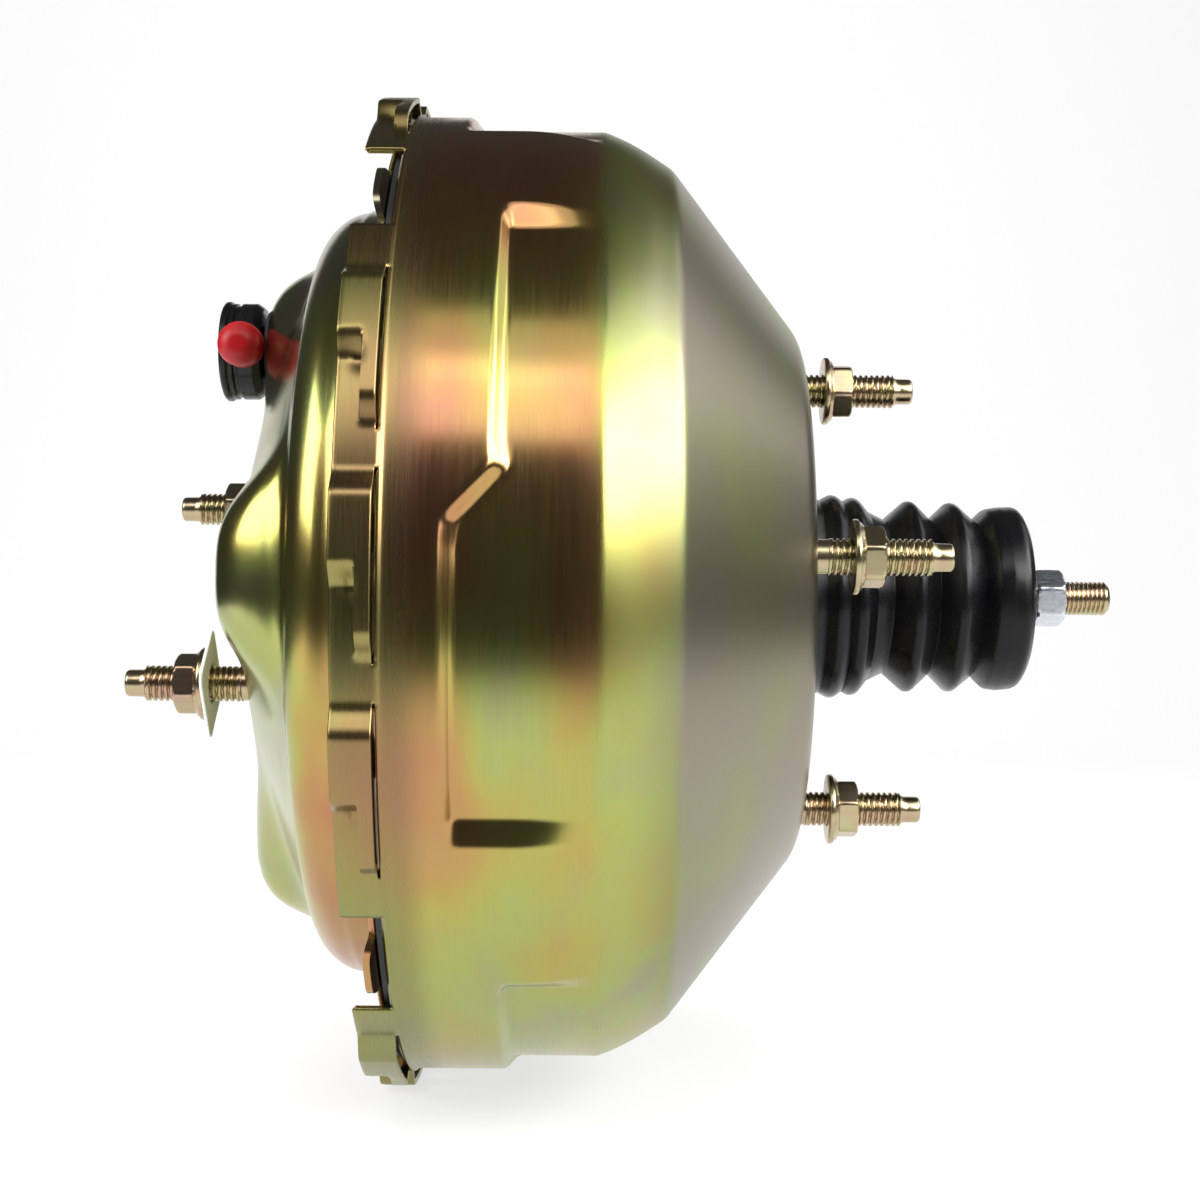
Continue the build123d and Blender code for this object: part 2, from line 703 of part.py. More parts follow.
def output_rod():
    """Output rod with its round head in the hub and a bore for the screw."""
    head = REACTION_FLOOR_X - REACTION_DISC_THICK - SOFT_GAP
    body = turned(
        [
            (head, 0), (head, REACTION_R - 0.1), (head - ROD_HEAD_THICK, REACTION_R - 0.1),
            (head - ROD_HEAD_THICK, OUTPUT_ROD_R), (OUTPUT_ROD_X, OUTPUT_ROD_R), (OUTPUT_ROD_X, 0),
        ]
    )
    return body - rod(OUTPUT_ROD_X - 1, OUTPUT_ROD_X + 12.0, OUTPUT_SCREW_R + 0.04)


def output_rod_screw():
    """Adjusting screw in the tip of the output rod."""
    shank = rod(OUTPUT_TIP_X + 3.0, OUTPUT_ROD_X + 11.0, OUTPUT_SCREW_R)
    tip = turned(
        [
            (OUTPUT_TIP_X, 0), (OUTPUT_TIP_X, OUTPUT_SCREW_R - 1.2), (OUTPUT_TIP_X + 1.2, OUTPUT_SCREW_R),
            (OUTPUT_TIP_X + 4.0, OUTPUT_SCREW_R), (OUTPUT_TIP_X + 4.0, 0),
        ]
    )
    return shank + tip + hexagon(11.0, OUTPUT_ROD_X - 6.0, OUTPUT_ROD_X)


def reaction_retainer():
    """Stepped ring pressed into the front of the hub."""
    head = REACTION_FLOOR_X - REACTION_DISC_THICK - SOFT_GAP - ROD_HEAD_THICK
    return ring(HUB_FRONT_X, head - 0.1, OUTPUT_ROD_R + 1.0, REACTION_R)


def poppet_valve():
    """Rubber control-valve cuff: seat ring, thin sleeve and outer bead."""
    bead_r = VALVE_BORE_R - SOFT_GAP
    end = POPPET_RETAINER_X - SOFT_GAP
    return turned(
        [
            (POPPET_SEAT_X, 6.8), (POPPET_SEAT_X, 12.4), (POPPET_LIP_X, 12.4), (POPPET_LIP_X, 11.4),
            (end - 4.0, 11.4), (end - 4.0, bead_r), (end, bead_r), (end, 10.2),
            (POPPET_LIP_X, 10.2), (POPPET_LIP_X, 6.8),
        ]
    )


def poppet_retainer():
    """Metal ring that holds the control-valve cuff in the hub."""
    end = POPPET_RETAINER_X + POPPET_RETAINER_THICK
    return ring(POPPET_RETAINER_X, end, 7.8, VALVE_BORE_R)


def poppet_spring():
    """Small spring that closes the control-valve cuff."""
    return coil(SOFT_GAP, POPPET_RETAINER_X - 0.1, 8.8, 1.0, 4)


def air_filter():
    """Foam ring that cleans the air entering the hub."""
    return ring(FILTER_X, FILTER_X + FILTER_LENGTH, FILTER_BORE_R, VALVE_BORE_R - SOFT_GAP)


def filter_silencer():
    """Felt ring behind the air filter."""
    start = FILTER_X + FILTER_LENGTH + SOFT_GAP
    return ring(start, start + SILENCER_LENGTH, FILTER_BORE_R, VALVE_BORE_R - SOFT_GAP)


def air_valve():
    """Plunger with its valve seat and the socket of the pedal rod."""
    body = turned(
        [
            (-45.5, 0), (-45.5, PLUNGER_R - RUNNING_CLEARANCE), (-7.0, PLUNGER_R - RUNNING_CLEARANCE),
            (-7.0, 10.6), (POPPET_SEAT_X - SOFT_GAP - 0.1, 10.6), (POPPET_SEAT_X - SOFT_GAP - 0.1, 0),
        ]
    )
    return body - rod(BALL_X - BALL_R - 0.4, 0, BALL_R + RUNNING_CLEARANCE)


def air_valve_spring():
    """Return spring of the pedal rod, from the poppet retainer to the rod collar."""
    start = POPPET_RETAINER_X + POPPET_RETAINER_THICK
    return coil(start + 0.1, ROD_COLLAR_X - 0.1, 9.4, 1.4, 4)


def pedal_rod():
    """Pedal rod with its ball, collar and threaded end."""
    free = JAM_NUT_X + JAM_NUT_THICK + 0.3
    body = turned(
        [
            (BALL_X, 0), (BALL_X, ROD_NECK_R), (0.0, ROD_NECK_R), (2.0, ROD_SHANK_R),
            (ROD_COLLAR_X, ROD_SHANK_R), (ROD_COLLAR_X, ROD_COLLAR_R),
            (ROD_COLLAR_X + 1.6, ROD_COLLAR_R), (ROD_COLLAR_X + 1.6, ROD_SHANK_R),
            (free, ROD_SHANK_R), (free, ROD_R), (ROD_TIP_X - 1.0, ROD_R),
            (ROD_TIP_X, ROD_R - 1.0), (ROD_TIP_X, 0),
        ]
    )
    return body + Pos(BALL_X, 0, 0) * Sphere(BALL_R)


def rod_jam_nut():
    """Hexagon jam nut on the threaded end of the pedal rod."""
    end = JAM_NUT_X + JAM_NUT_THICK
    corner = NUT_FLATS / 2.0 / cos(pi / 6.0)
    crown = turned(
        [
            (JAM_NUT_X, 0), (JAM_NUT_X, corner - 0.9), (JAM_NUT_X + 0.8, corner + 0.2),
            (end - 0.8, corner + 0.2), (end, corner - 0.9), (end, 0),
        ]
    )
    nut = hexagon(NUT_FLATS, JAM_NUT_X, end, 8.0) & crown
    return nut - rod(JAM_NUT_X - 1, end + 1, ROD_SHANK_R + NUT_BORE_CLEARANCE)


# Spring and check valve pieces

def return_spring():
    """Main return spring between the front plate and the hub."""
    start = FRONT_FACE_X + SHEET + FRONT_PLATE_THICK
    return coil(start + 0.1, HUB_FRONT_X - 0.1, 27.2, 3.6, 6)


def valve_grommet():
    """Rubber grommet of the check valve in the cover."""
    face = LOBE_SECTIONS[-1][0]
    inner, outer = VALVE_STEM_R + SOFT_GAP, GROMMET_HOLE_R - SOFT_GAP
    flange = GROMMET_FLANGE_R
    return at_clock(
        turned(
            [
                (face - 2.2, inner), (face - 2.2, flange), (face - SOFT_GAP, flange),
                (face - SOFT_GAP, outer), (face + SHEET + SOFT_GAP, outer),
                (face + SHEET + SOFT_GAP, outer + 0.7),
                (face + SHEET + 2.6, outer - 0.2), (face + SHEET + 2.6, inner),
            ]
        ),
        VALVE_CENTRE_R,
        VALVE_CLOCK,
    )


def valve_body():
    """Plastic body of the check valve with its stem and the hose barb."""
    stem_end = LOBE_SECTIONS[-1][0] + 8.5
    body = turned(
        [
            (VALVE_FRONT_X + 2.4, VALVE_R - VALVE_WALL), (VALVE_FRONT_X + 2.4, VALVE_R),
            (VALVE_BACK_X - 1.5, VALVE_R), (VALVE_BACK_X, VALVE_R - 1.5), (VALVE_BACK_X, VALVE_STEM_R),
            (stem_end - 3.0, VALVE_STEM_R), (stem_end - 2.6, VALVE_STEM_R + 0.25),
            (stem_end, VALVE_STEM_R - 1.2), (stem_end, 4.0), (VALVE_BACK_X - 1.6, 4.0),
            (VALVE_BACK_X - 1.6, VALVE_R - VALVE_WALL),
        ]
    )
    along = Pos(BARB_X, 0, 0) * Rot(90, 0, 0)
    foot = (Align.CENTER, Align.CENTER, Align.MIN)
    neck = along * (Pos(0, 0, VALVE_R - 2.0) * Cylinder(BARB_R, 3.0, align=foot))
    hose = Cone(BARB_R, BARB_R - 0.7, BARB_REACH - VALVE_R, align=foot)
    barb = along * (Pos(0, 0, VALVE_R) * hose)
    ridge = along * (Pos(0, 0, BARB_REACH - 6.0) * Cone(BARB_R + 0.5, BARB_R - 0.6, 2.2, align=foot))
    bore = along * (Pos(0, 0, VALVE_R - 3.0) * Cylinder(BARB_BORE_R, BARB_REACH, align=foot))
    return at_clock(body + neck + barb + ridge - bore, VALVE_CENTRE_R, VALVE_CLOCK)


def valve_cover():
    """Front lid of the check valve with its rounded bead."""
    lid = turned(
        [
            (VALVE_FRONT_X, 0), (VALVE_FRONT_X, VALVE_R - 0.8), (VALVE_FRONT_X + 0.8, VALVE_R + 0.5),
            (VALVE_FRONT_X + 1.8, VALVE_R + 0.5), (VALVE_FRONT_X + 2.4, VALVE_R), (VALVE_FRONT_X + 2.4, 0),
        ]
    )
    return at_clock(lid, VALVE_CENTRE_R, VALVE_CLOCK)


def valve_disc():
    """Rubber disc that closes the stem port of the check valve."""
    seat = VALVE_BACK_X - 1.6 - SOFT_GAP
    half = [(seat, 0), (seat, 6.2), (seat - 1.4, 6.2), (seat - 1.4, 3.0), (seat - 2.4, 3.0), (seat - 2.4, 0)]
    disc = turned(half)
    return at_clock(disc, VALVE_CENTRE_R, VALVE_CLOCK)


def valve_spring():
    """Light spring that holds the check-valve disc on its seat."""
    seat = VALVE_BACK_X - 1.6 - SOFT_GAP
    return at_clock(coil(VALVE_FRONT_X + 2.5, seat - 1.5, 4.6, 1.0, 2), VALVE_CENTRE_R, VALVE_CLOCK)


def barb_cap():
    """Soft round cap pushed over the hose barb."""
    start = BARB_REACH - CAP_LENGTH + CAP_WALL + 0.4
    base = (Align.CENTER, Align.CENTER, Align.MIN)
    cap = Pos(0, 0, start) * Cylinder(CAP_R, CAP_LENGTH, align=base)
    cap = fillet(cap.edges().sort_by(Axis.Z)[-1], 2.2)
    cap -= Pos(0, 0, start - 1) * Cylinder(BARB_R + 0.5 + SOFT_GAP, CAP_LENGTH - CAP_WALL + 1, align=base)
    return at_clock(Pos(BARB_X, 0, 0) * Rot(90, 0, 0) * cap, VALVE_CENTRE_R, VALVE_CLOCK)


# Assembly

def build_nodes():
    """Every node of the booster by name."""
    rear_nut = flange_nut(REAR_NUT_X, 1.0)
    front_nut = flange_nut(FRONT_NUT_X, -1.0)
    rear_free, front_free = REAR_NUT_X + NUT_HEIGHT + 0.3, FRONT_NUT_X - NUT_HEIGHT - 0.3
    rear_head = -SHEET - REAR_PLATE_THICK - STUD_HEAD_THICK
    rear_stud = stud(rear_head, -0.1, REAR_STUD_TIP_X, rear_free)
    front_head = FRONT_FACE_X + SHEET + FRONT_PLATE_THICK + STUD_HEAD_THICK
    front_stud = stud(front_head, FRONT_FACE_X + 0.1, FRONT_STUD_TIP_X, front_free)
    return {
        "front_shell": front_shell(),
        "rear_shell": rear_shell(),
        "firewall_studs": group(rear_stud, rear_stud_places()),
        "firewall_nuts": group(rear_nut, rear_stud_places()),
        "front_studs": group(front_stud, front_stud_places()),
        "front_nuts": group(front_nut, front_stud_places()),
        "stud_card": stud_card(),
        "rear_plate": rear_plate(),
        "front_plate": front_plate(),
        "rod_seal": rod_seal(),
        "rod_seal_retainer": rod_seal_retainer(),
        "hub_bearing": hub_bearing(),
        "hub_seal": hub_seal(),
        "hub_seal_retainer": hub_seal_retainer(),
        "boot": boot(),
        "diaphragm": diaphragm(),
        "return_spring": return_spring(),
        "valve_grommet": valve_grommet(),
        "valve_body": valve_body(),
        "valve_cover": valve_cover(),
        "valve_disc": valve_disc(),
        "valve_spring": valve_spring(),
        "barb_cap": barb_cap(),
        "piston_hub": piston_hub(),
        "diaphragm_plate": diaphragm_plate(),
        "plate_lock_ring": plate_lock_ring(),
        "reaction_disc": reaction_disc(),
        "reaction_retainer": reaction_retainer(),
        "output_rod": output_rod(),
        "output_rod_screw": output_rod_screw(),
        "poppet_valve": poppet_valve(),
        "poppet_retainer": poppet_retainer(),
        "poppet_spring": poppet_spring(),
        "air_filter": air_filter(),
        "filter_silencer": filter_silencer(),
        "air_valve": air_valve(),
        "air_valve_spring": air_valve_spring(),
        "pedal_rod": pedal_rod(),
        "rod_jam_nut": rod_jam_nut(),
    }


def main():
    """Build each node and write it as its own STEP file."""
    os.makedirs("parts", exist_ok=True)
    for name, shape in build_nodes().items():
        export_step(shape, f"parts/{name}.step")
        print(name, len(shape.solids()), round(shape.volume, 1))


main()
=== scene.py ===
"""Dressed scene of a vacuum brake booster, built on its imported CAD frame.

Sizes in the classes are in millimetres. X is the booster axis with the pedal at +X, Z is up
and the camera looks along +Y. A clock angle is counted from -Y towards +Z.
"""

import logging
import math
from dataclasses import dataclass, field
from enum import Enum
from typing import Callable, Optional, Sequence

import bpy
import numpy as np
from mathutils import Matrix, Vector

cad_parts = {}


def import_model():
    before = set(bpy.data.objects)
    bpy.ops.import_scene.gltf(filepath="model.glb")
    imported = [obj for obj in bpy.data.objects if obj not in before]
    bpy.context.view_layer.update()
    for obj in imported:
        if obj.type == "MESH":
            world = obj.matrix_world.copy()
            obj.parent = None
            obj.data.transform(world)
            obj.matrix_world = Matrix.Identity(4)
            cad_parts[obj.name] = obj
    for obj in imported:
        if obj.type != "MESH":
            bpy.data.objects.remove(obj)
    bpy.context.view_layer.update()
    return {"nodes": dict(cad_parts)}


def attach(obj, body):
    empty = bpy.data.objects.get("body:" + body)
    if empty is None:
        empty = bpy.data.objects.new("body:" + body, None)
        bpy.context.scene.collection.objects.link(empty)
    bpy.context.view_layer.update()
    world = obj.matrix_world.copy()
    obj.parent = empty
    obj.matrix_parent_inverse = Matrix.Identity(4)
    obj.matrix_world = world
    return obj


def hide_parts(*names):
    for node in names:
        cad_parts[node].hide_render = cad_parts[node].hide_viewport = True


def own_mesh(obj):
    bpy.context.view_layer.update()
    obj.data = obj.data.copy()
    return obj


LOG = logging.getLogger("booster")
MM = 0.001
SQUARE_CLOCK = 10.0  # Clock angle of the stud squares and of the twist-lock pattern, in degrees.
BRIDGE_START = 2.5  # Angle from the stud square to the start of a bridge station, in degrees.
SHEET_SLACK = 0.1  # Amount by which a drawn wall stays thinner than its sheet.


class Grain(Enum):
    """Direction in which a sheet was drawn or a bar was turned."""

    AROUND_AXIS = "around"
    ALONG_AXIS = "along"
    NONE = "none"


class Side(Enum):
    """End of the booster that a fastener set stands on."""

    PEDAL = 1
    CYLINDER = -1


class Zones(Enum):
    """Way in which the plate's film changes over a piece; on the drum also where painted shade darkens the rim and the
    cone.
    """

    NONE = "none"
    DRUM = "drum"
    COVER = "cover"


# Shader writing


def joins(operation: str, swap: bool = False) -> Callable[["Signal", "Signal | float"], "Signal"]:
    """Return a method that joins a signal with one more value.

    Args:
        operation: Name of the Math operation.
        swap: Put the signal second.

    Returns:
        The method.
    """

    def method(self: "Signal", other: "Signal | float") -> "Signal":
        """Return the two values joined."""
        return self.math(operation, other, swap=swap)

    return method


class Signal:
    """A shader socket that takes part in Python expressions."""

    __add__, __radd__ = joins("ADD"), joins("ADD", True)
    __sub__, __rsub__ = joins("SUBTRACT"), joins("SUBTRACT", True)
    __mul__, __rmul__ = joins("MULTIPLY"), joins("MULTIPLY", True)
    __truediv__, __rtruediv__ = joins("DIVIDE"), joins("DIVIDE", True)
    at_most, at_least = joins("MINIMUM"), joins("MAXIMUM")

    def __init__(self, sheet: "ShaderSheet", socket: Optional[bpy.types.NodeSocket]) -> None:
        """Keep the socket and the sheet it belongs to.

        Args:
            sheet: Sheet under construction.
            socket: Output socket that carries the value, or None for an output node.
        """
        self.sheet = sheet
        self.socket = socket

    def math(self, operation: str, *others: "Signal | float", swap: bool = False) -> "Signal":
        """Join this value with others in a Math node.

        Args:
            operation: Name of the Math operation.
            others: Further operands.
            swap: Put this value second.

        Returns:
            The result as a new signal.
        """
        operands = [self, *others]
        if swap:
            operands.reverse()
        return self.sheet.node("ShaderNodeMath", {"operation": operation}, dict(enumerate(operands)))

    def spread(self, low: float, high: float, to_low: float = 0.0, to_high: float = 1.0) -> "Signal":
        """Return this value carried smoothly from one range to another.

        Args:
            low: Start of the range read.
            high: End of the range read.
            to_low: Value at the start.
            to_high: Value at the end.

        Returns:
            The remapped signal.
        """
        return self.sheet.node(
            "ShaderNodeMapRange",
            {"interpolation_type": "SMOOTHSTEP"},
            {0: self, 1: low, 2: high, 3: to_low, 4: to_high},
        )


class ShaderSheet:
    """One material or world and the nodes written into it."""

    def __init__(self, name: str, holder: Optional[bpy.types.ID] = None) -> None:
        """Start an empty node tree.

        Args:
            name: Name of a new material.
            holder: World to write into in its place.
        """
        self.material = holder or bpy.data.materials.new(name)
        self.material.use_nodes = True
        self.tree = self.material.node_tree
        self.tree.nodes.clear()

    def node(
        self,
        kind: str,
        settings: Optional[dict[str, object]] = None,
        sockets: Optional[dict[object, object]] = None,
        output: object = 0,
    ) -> Signal:
        """Add any node, its settings first and its sockets after.

        Args:
            kind: Node type.
            settings: Attribute values; "stops" fills a colour ramp.
            sockets: Values or signals by socket name or index.
            output: Name or index of the output to return.

        Returns:
            The chosen output as a signal.
        """
        made = self.tree.nodes.new(kind)
        for key, value in (settings or {}).items():
            if key == "stops":
                self._fill_ramp(made.color_ramp, value)
            else:
                setattr(made, key, value)
        for key, value in (sockets or {}).items():
            if isinstance(value, Signal):
                self.tree.links.new(value.socket, made.inputs[key])
            else:
                made.inputs[key].default_value = value
        return Signal(self, made.outputs[output]) if made.outputs else Signal(self, None)

    @staticmethod
    def _fill_ramp(ramp: bpy.types.ColorRamp, stops: Sequence[tuple[float, tuple[float, ...]]]) -> None:
        """Set the stops of a colour ramp.

        Args:
            ramp: Ramp to fill.
            stops: Position and colour of each stop.
        """
        while len(ramp.elements) < len(stops):
            ramp.elements.new(1.0)
        for element, (place, colour) in zip(ramp.elements, stops):
            element.position = place
            element.color = (*colour[:3], 1.0)

    def place(self, scale: tuple[float, float, float] = (1.0, 1.0, 1.0)) -> Signal:
        """Return the position on the piece, stretched by a scale.

        Args:
            scale: Factor along X, Y and Z.

        Returns:
            Position as a vector signal.
        """
        spot = self.node("ShaderNodeTexCoord", output="Object")
        return self.node("ShaderNodeMapping", {"vector_type": "POINT"}, {"Vector": spot, "Scale": scale})

    def coordinate(self, spot: Signal, axis: int) -> Signal:
        """Return one coordinate of a position, 0 for X to 2 for Z."""
        return self.node("ShaderNodeSeparateXYZ", {}, {0: spot}, axis)

    def noise(self, where: Signal, scale: float, detail: float = 2.0, rough: float = 0.5) -> Signal:
        """Return a noise value over the piece.

        Args:
            where: Position signal.
            scale: Features per metre.
            detail: Number of finer layers.
            rough: Weight of the finer layers.

        Returns:
            Noise from 0 to 1.
        """
        return self.node(
            "ShaderNodeTexNoise", {}, {"Vector": where, "Scale": scale, "Detail": detail, "Roughness": rough}
        )

    def ramp(self, value: Signal, stops: Sequence[tuple[float, tuple[float, ...]]]) -> Signal:
        """Return a colour picked from stops by a value."""
        return self.node("ShaderNodeValToRGB", {"stops": stops}, {0: value})

    def mix(self, factor: "Signal | float", a: object, b: object) -> Signal:
        """Return two colours mixed.

        Args:
            factor: Share of the second colour.
            a: First colour or signal.
            b: Second colour or signal.

        Returns:
            The mixed colour.
        """
        pick = [c if isinstance(c, Signal) else (*c[:3], 1.0) for c in (a, b)]
        return self.node("ShaderNodeMix", {"data_type": "RGBA"}, {0: factor, 6: pick[0], 7: pick[1]}, 2)

    def bump(self, height: Signal, distance: float, strength: float = 1.0) -> Signal:
        """Return a bumped normal.

        Args:
            height: Height signal.
            distance: Height of one unit, in metres.
            strength: Share of the effect.

        Returns:
            Normal signal.
        """
        return self.node("ShaderNodeBump", {}, {"Strength": strength, "Distance": distance, "Height": height})

    def surface(self, **sockets: object) -> bpy.types.Material:
        """Close the sheet with a Principled surface.

        Args:
            sockets: Values or signals by socket name with spaces as underscores.

        Returns:
            The finished material.
        """
        named = {key.replace("_", " "): value for key, value in sockets.items()}
        body = self.node("ShaderNodeBsdfPrincipled", {}, named)
        self.node("ShaderNodeOutputMaterial", {}, {"Surface": body})
        return self.material


# Finishes


@dataclass(frozen=True)
class YellowZinc:
    """Yellow-chromated zinc plate with a satin sheen that drifts from copper to olive."""

    # drift: features per metre of the film's clouds; thickness: film, 0 copper to 1 lilac; bare: share of bare zinc.
    name: str
    grain: Grain = Grain.AROUND_AXIS
    drift: float = 9.0
    thickness: float = 0.35
    roughness: float = 0.2
    zones: Zones = Zones.NONE
    bare: float = 0.0

    FILM = (
        (0.00, (0.41, 0.17, 0.115)),
        (0.18, (0.43, 0.22, 0.098)),
        (0.36, (0.43, 0.285, 0.092)),
        (0.52, (0.40, 0.36, 0.096)),
        (0.68, (0.35, 0.40, 0.12)),
        (0.82, (0.33, 0.34, 0.17)),
        (1.00, (0.34, 0.30, 0.225)),
    )
    CLOUD = (0.38, 0.26, 0.16)
    BARE_ZINC = (0.52, 0.48, 0.40)
    # Painted shade over the rim, darkening its reflections.
    RIM_PAINTED_SHADE = (0.15, 0.125, 0.07)
    # Painted shade over the cone, darker and a little greyer.
    CONE_PAINTED_SHADE = (0.13, 0.125, 0.105)
    STAIN = (0.30, 0.23, 0.12)
    SCRATCH = (0.27, 0.21, 0.09)

    def material(self) -> bpy.types.Material:
        """Return the plate as a material."""
        sheet = ShaderSheet(self.name)
        spot = sheet.place()
        broad = sheet.noise(spot, self.drift, 1.0, 0.4) - 0.5
        patch = sheet.noise(self._along_grain(sheet, self.drift * 4.0, self.drift * 2.2), 1.0, 2.0, 0.5) - 0.5
        streak = sheet.noise(self._along_grain(sheet, 60.0, 5.0), 1.0, 3.0, 0.55) - 0.5
        hue = broad * 0.75 + patch * 0.90 + streak * 0.22 + self.thickness
        if self.zones is not Zones.NONE:
            hue = hue + self._zone_shift(sheet, spot)
        film = sheet.ramp(hue, self.FILM)
        cloud = sheet.noise(spot, 55.0, 4.0, 0.6)
        colour = sheet.mix(cloud.spread(0.45, 0.75, 0.0, 0.22), film, self.CLOUD)
        colour = sheet.mix(self.bare, colour, self.BARE_ZINC)
        fine = sheet.noise(self._along_grain(sheet, 2600.0, 60.0), 1.0, 3.0, 0.6)
        if self.zones is Zones.DRUM:
            along = sheet.coordinate(spot, 0)
            # Over the rim the plate is rougher, and its colour is darkened as painted shade so its reflections look
            # dimmer.
            rim_dull_and_shade = along.spread(-0.0920, -0.1005)
            # Painted shade: the cone's colour is darkened and greyed so its reflections look dimmer.
            cone = along.spread(-0.0500, -0.0330)
            fine = (fine - 0.5) * along.spread(-0.060, -0.050, 1.0, 0.12) + 0.5
            colour = sheet.mix(rim_dull_and_shade * 0.50, colour, self.RIM_PAINTED_SHADE)
            colour = sheet.mix(cone * 0.42, colour, self.CONE_PAINTED_SHADE)
        stain = sheet.noise(spot, 240.0, 3.0, 0.65).spread(0.62, 0.8)
        colour = sheet.mix(stain * 0.20, colour, self.STAIN)
        colour = sheet.mix(fine.spread(0.3, 0.8, 0.0, 0.10), colour, self.SCRATCH)
        rough = fine.spread(0.25, 0.8, -0.02, 0.04) + broad.spread(0.3, 0.7, -0.02, 0.03) + self.roughness
        if self.zones is Zones.DRUM:
            rough = rough + along.spread(-0.064, -0.048, 0.0, 0.13) + rim_dull_and_shade * 0.10
        height = fine * 0.6 + sheet.noise(spot, 900.0, 2.0, 0.5) * 0.4
        return sheet.surface(
            Base_Color=colour,
            Metallic=1.0,
            Roughness=rough,
            Normal=sheet.bump(height, 0.00001, 0.25),
        )

    def _along_grain(self, sheet: ShaderSheet, across: float, along: float) -> Signal:
        """Return the position stretched along the drawing direction.

        Args:
            sheet: Sheet under construction.
            across: Features per metre across the grain.
            along: Features per metre along it.

        Returns:
            Position signal.
        """
        scales = {
            Grain.AROUND_AXIS: (across, along, along),
            Grain.ALONG_AXIS: (along, across, across),
            Grain.NONE: (across, across, across),
        }
        return sheet.place(scales[self.grain])

    def _zone_shift(self, sheet: ShaderSheet, spot: Signal) -> Signal:
        """Return how the film thickens over a shell, from its rim to its back.

        Args:
            sheet: Sheet under construction.
            spot: Position signal.

        Returns:
            Change of film thickness.
        """
        x, z = sheet.coordinate(spot, 0), sheet.coordinate(spot, 2)
        if self.zones is Zones.COVER:
            near_rim = x.spread(-0.132, -0.122) * z.spread(0.02, -0.03)
            return x.spread(-0.112, -0.135, 0.04, 0.14) + z.spread(0.02, 0.09, 0.0, 0.18) - near_rim * 0.42
        pocket = x.spread(-0.089, -0.079)
        shoulder = x.spread(-0.0575, -0.0530)
        cone = x.spread(-0.0385, -0.0335)
        rim = x.spread(-0.0985, -0.1015) * z.spread(-0.03, 0.02, 0.05, 0.20)
        front = 1.0 - shoulder
        low = z.spread(-0.035, -0.075, 0.0, 0.30) * front
        below = z.spread(0.0, -0.03, 0.0, 0.20) * pocket * front
        middle = z.spread(0.05, -0.03, -0.05, 0.12) * (1.0 - pocket)
        return pocket * 0.10 + shoulder * 0.36 + cone * 0.32 + low.at_least(below) + middle + rim


@dataclass(frozen=True)
class PlainMetal:
    """Bare or clear-plated metal."""

    name: str
    colour: tuple[float, float, float]
    roughness: float = 0.3
    mottle: float = 0.12

    def material(self) -> bpy.types.Material:
        """Return the metal as a material."""
        sheet = ShaderSheet(self.name)
        spot = sheet.place()
        cloud = sheet.noise(spot, 420.0, 4.0, 0.6)
        scratch = sheet.noise(sheet.place((300.0, 2400.0, 2400.0)), 1.0, 3.0, 0.6)
        dark = tuple(c * 0.55 for c in self.colour)
        colour = sheet.mix(cloud.spread(0.35, 0.75, 0.0, self.mottle * 3.0), self.colour, dark)
        rough = scratch.spread(0.3, 0.8, -0.05, 0.12) + self.roughness
        return sheet.surface(
            Base_Color=colour, Metallic=1.0, Roughness=rough, Normal=sheet.bump(scratch, 0.00001, 0.4)
        )


@dataclass(frozen=True)
class MouldedSkin:
    """Moulded rubber or plastic with a fine skin and dusty rubbed places."""

    name: str
    colour: tuple[float, float, float]
    dust: tuple[float, float, float]
    roughness: float = 0.4
    grain_height: float = 0.00002
    specular: float = 0.5
    coat: float = 0.0

    def material(self) -> bpy.types.Material:
        """Return the moulding as a material."""
        sheet = ShaderSheet(self.name)
        spot = sheet.place()
        wear = sheet.noise(spot, 65.0, 4.0, 0.6)
        pores = sheet.noise(spot, 2200.0, 2.0, 0.5)
        colour = sheet.mix(wear.spread(0.45, 0.8, 0.0, 0.35), self.colour, self.dust)
        rough = wear.spread(0.3, 0.75, -0.05, 0.10) + pores.spread(0.3, 0.7, -0.02, 0.04) + self.roughness
        height = pores * 0.5 + wear * 0.5
        return sheet.surface(
            Base_Color=colour,
            Roughness=rough,
            Specular_IOR_Level=self.specular,
            Coat_Weight=self.coat,
            Normal=sheet.bump(height, self.grain_height, 0.6),
        )


@dataclass(frozen=True)
class Fibre:
    """Card, felt or foam with a fibrous or open surface."""

    name: str
    colour: tuple[float, float, float]
    shade: tuple[float, float, float]
    cell: float = 1500.0
    height: float = 0.0001

    def material(self) -> bpy.types.Material:
        """Return the fibre as a material."""
        sheet = ShaderSheet(self.name)
        spot = sheet.place()
        fibre = sheet.noise(spot, self.cell, 4.0, 0.7)
        cloud = sheet.noise(spot, 90.0, 2.0, 0.5)
        share = fibre.spread(0.35, 0.7, 0.0, 0.6) + cloud.spread(0.4, 0.8, 0.0, 0.25)
        colour = sheet.mix(share, self.colour, self.shade)
        return sheet.surface(Base_Color=colour, Roughness=0.85, Normal=sheet.bump(fibre, self.height, 0.7))


# Curves and meshes


def soft_ramp(t: np.ndarray, soft: float = 0.3) -> np.ndarray:
    """Return a rise from 0 to 1 with rounded ends and a straight middle.

    Args:
        t: Position, 0 at the foot and 1 at the top.
        soft: Length of each rounded end.

    Returns:
        Height from 0 to 1.
    """
    t = np.clip(t, 0.0, 1.0)
    rise = 1.0 / (1.0 - soft)
    foot = 0.5 * rise * t * t / soft
    top = 1.0 - 0.5 * rise * (1.0 - t) ** 2 / soft
    middle = rise * (t - soft / 2.0)
    return np.where(t < soft, foot, np.where(t > 1.0 - soft, top, middle))


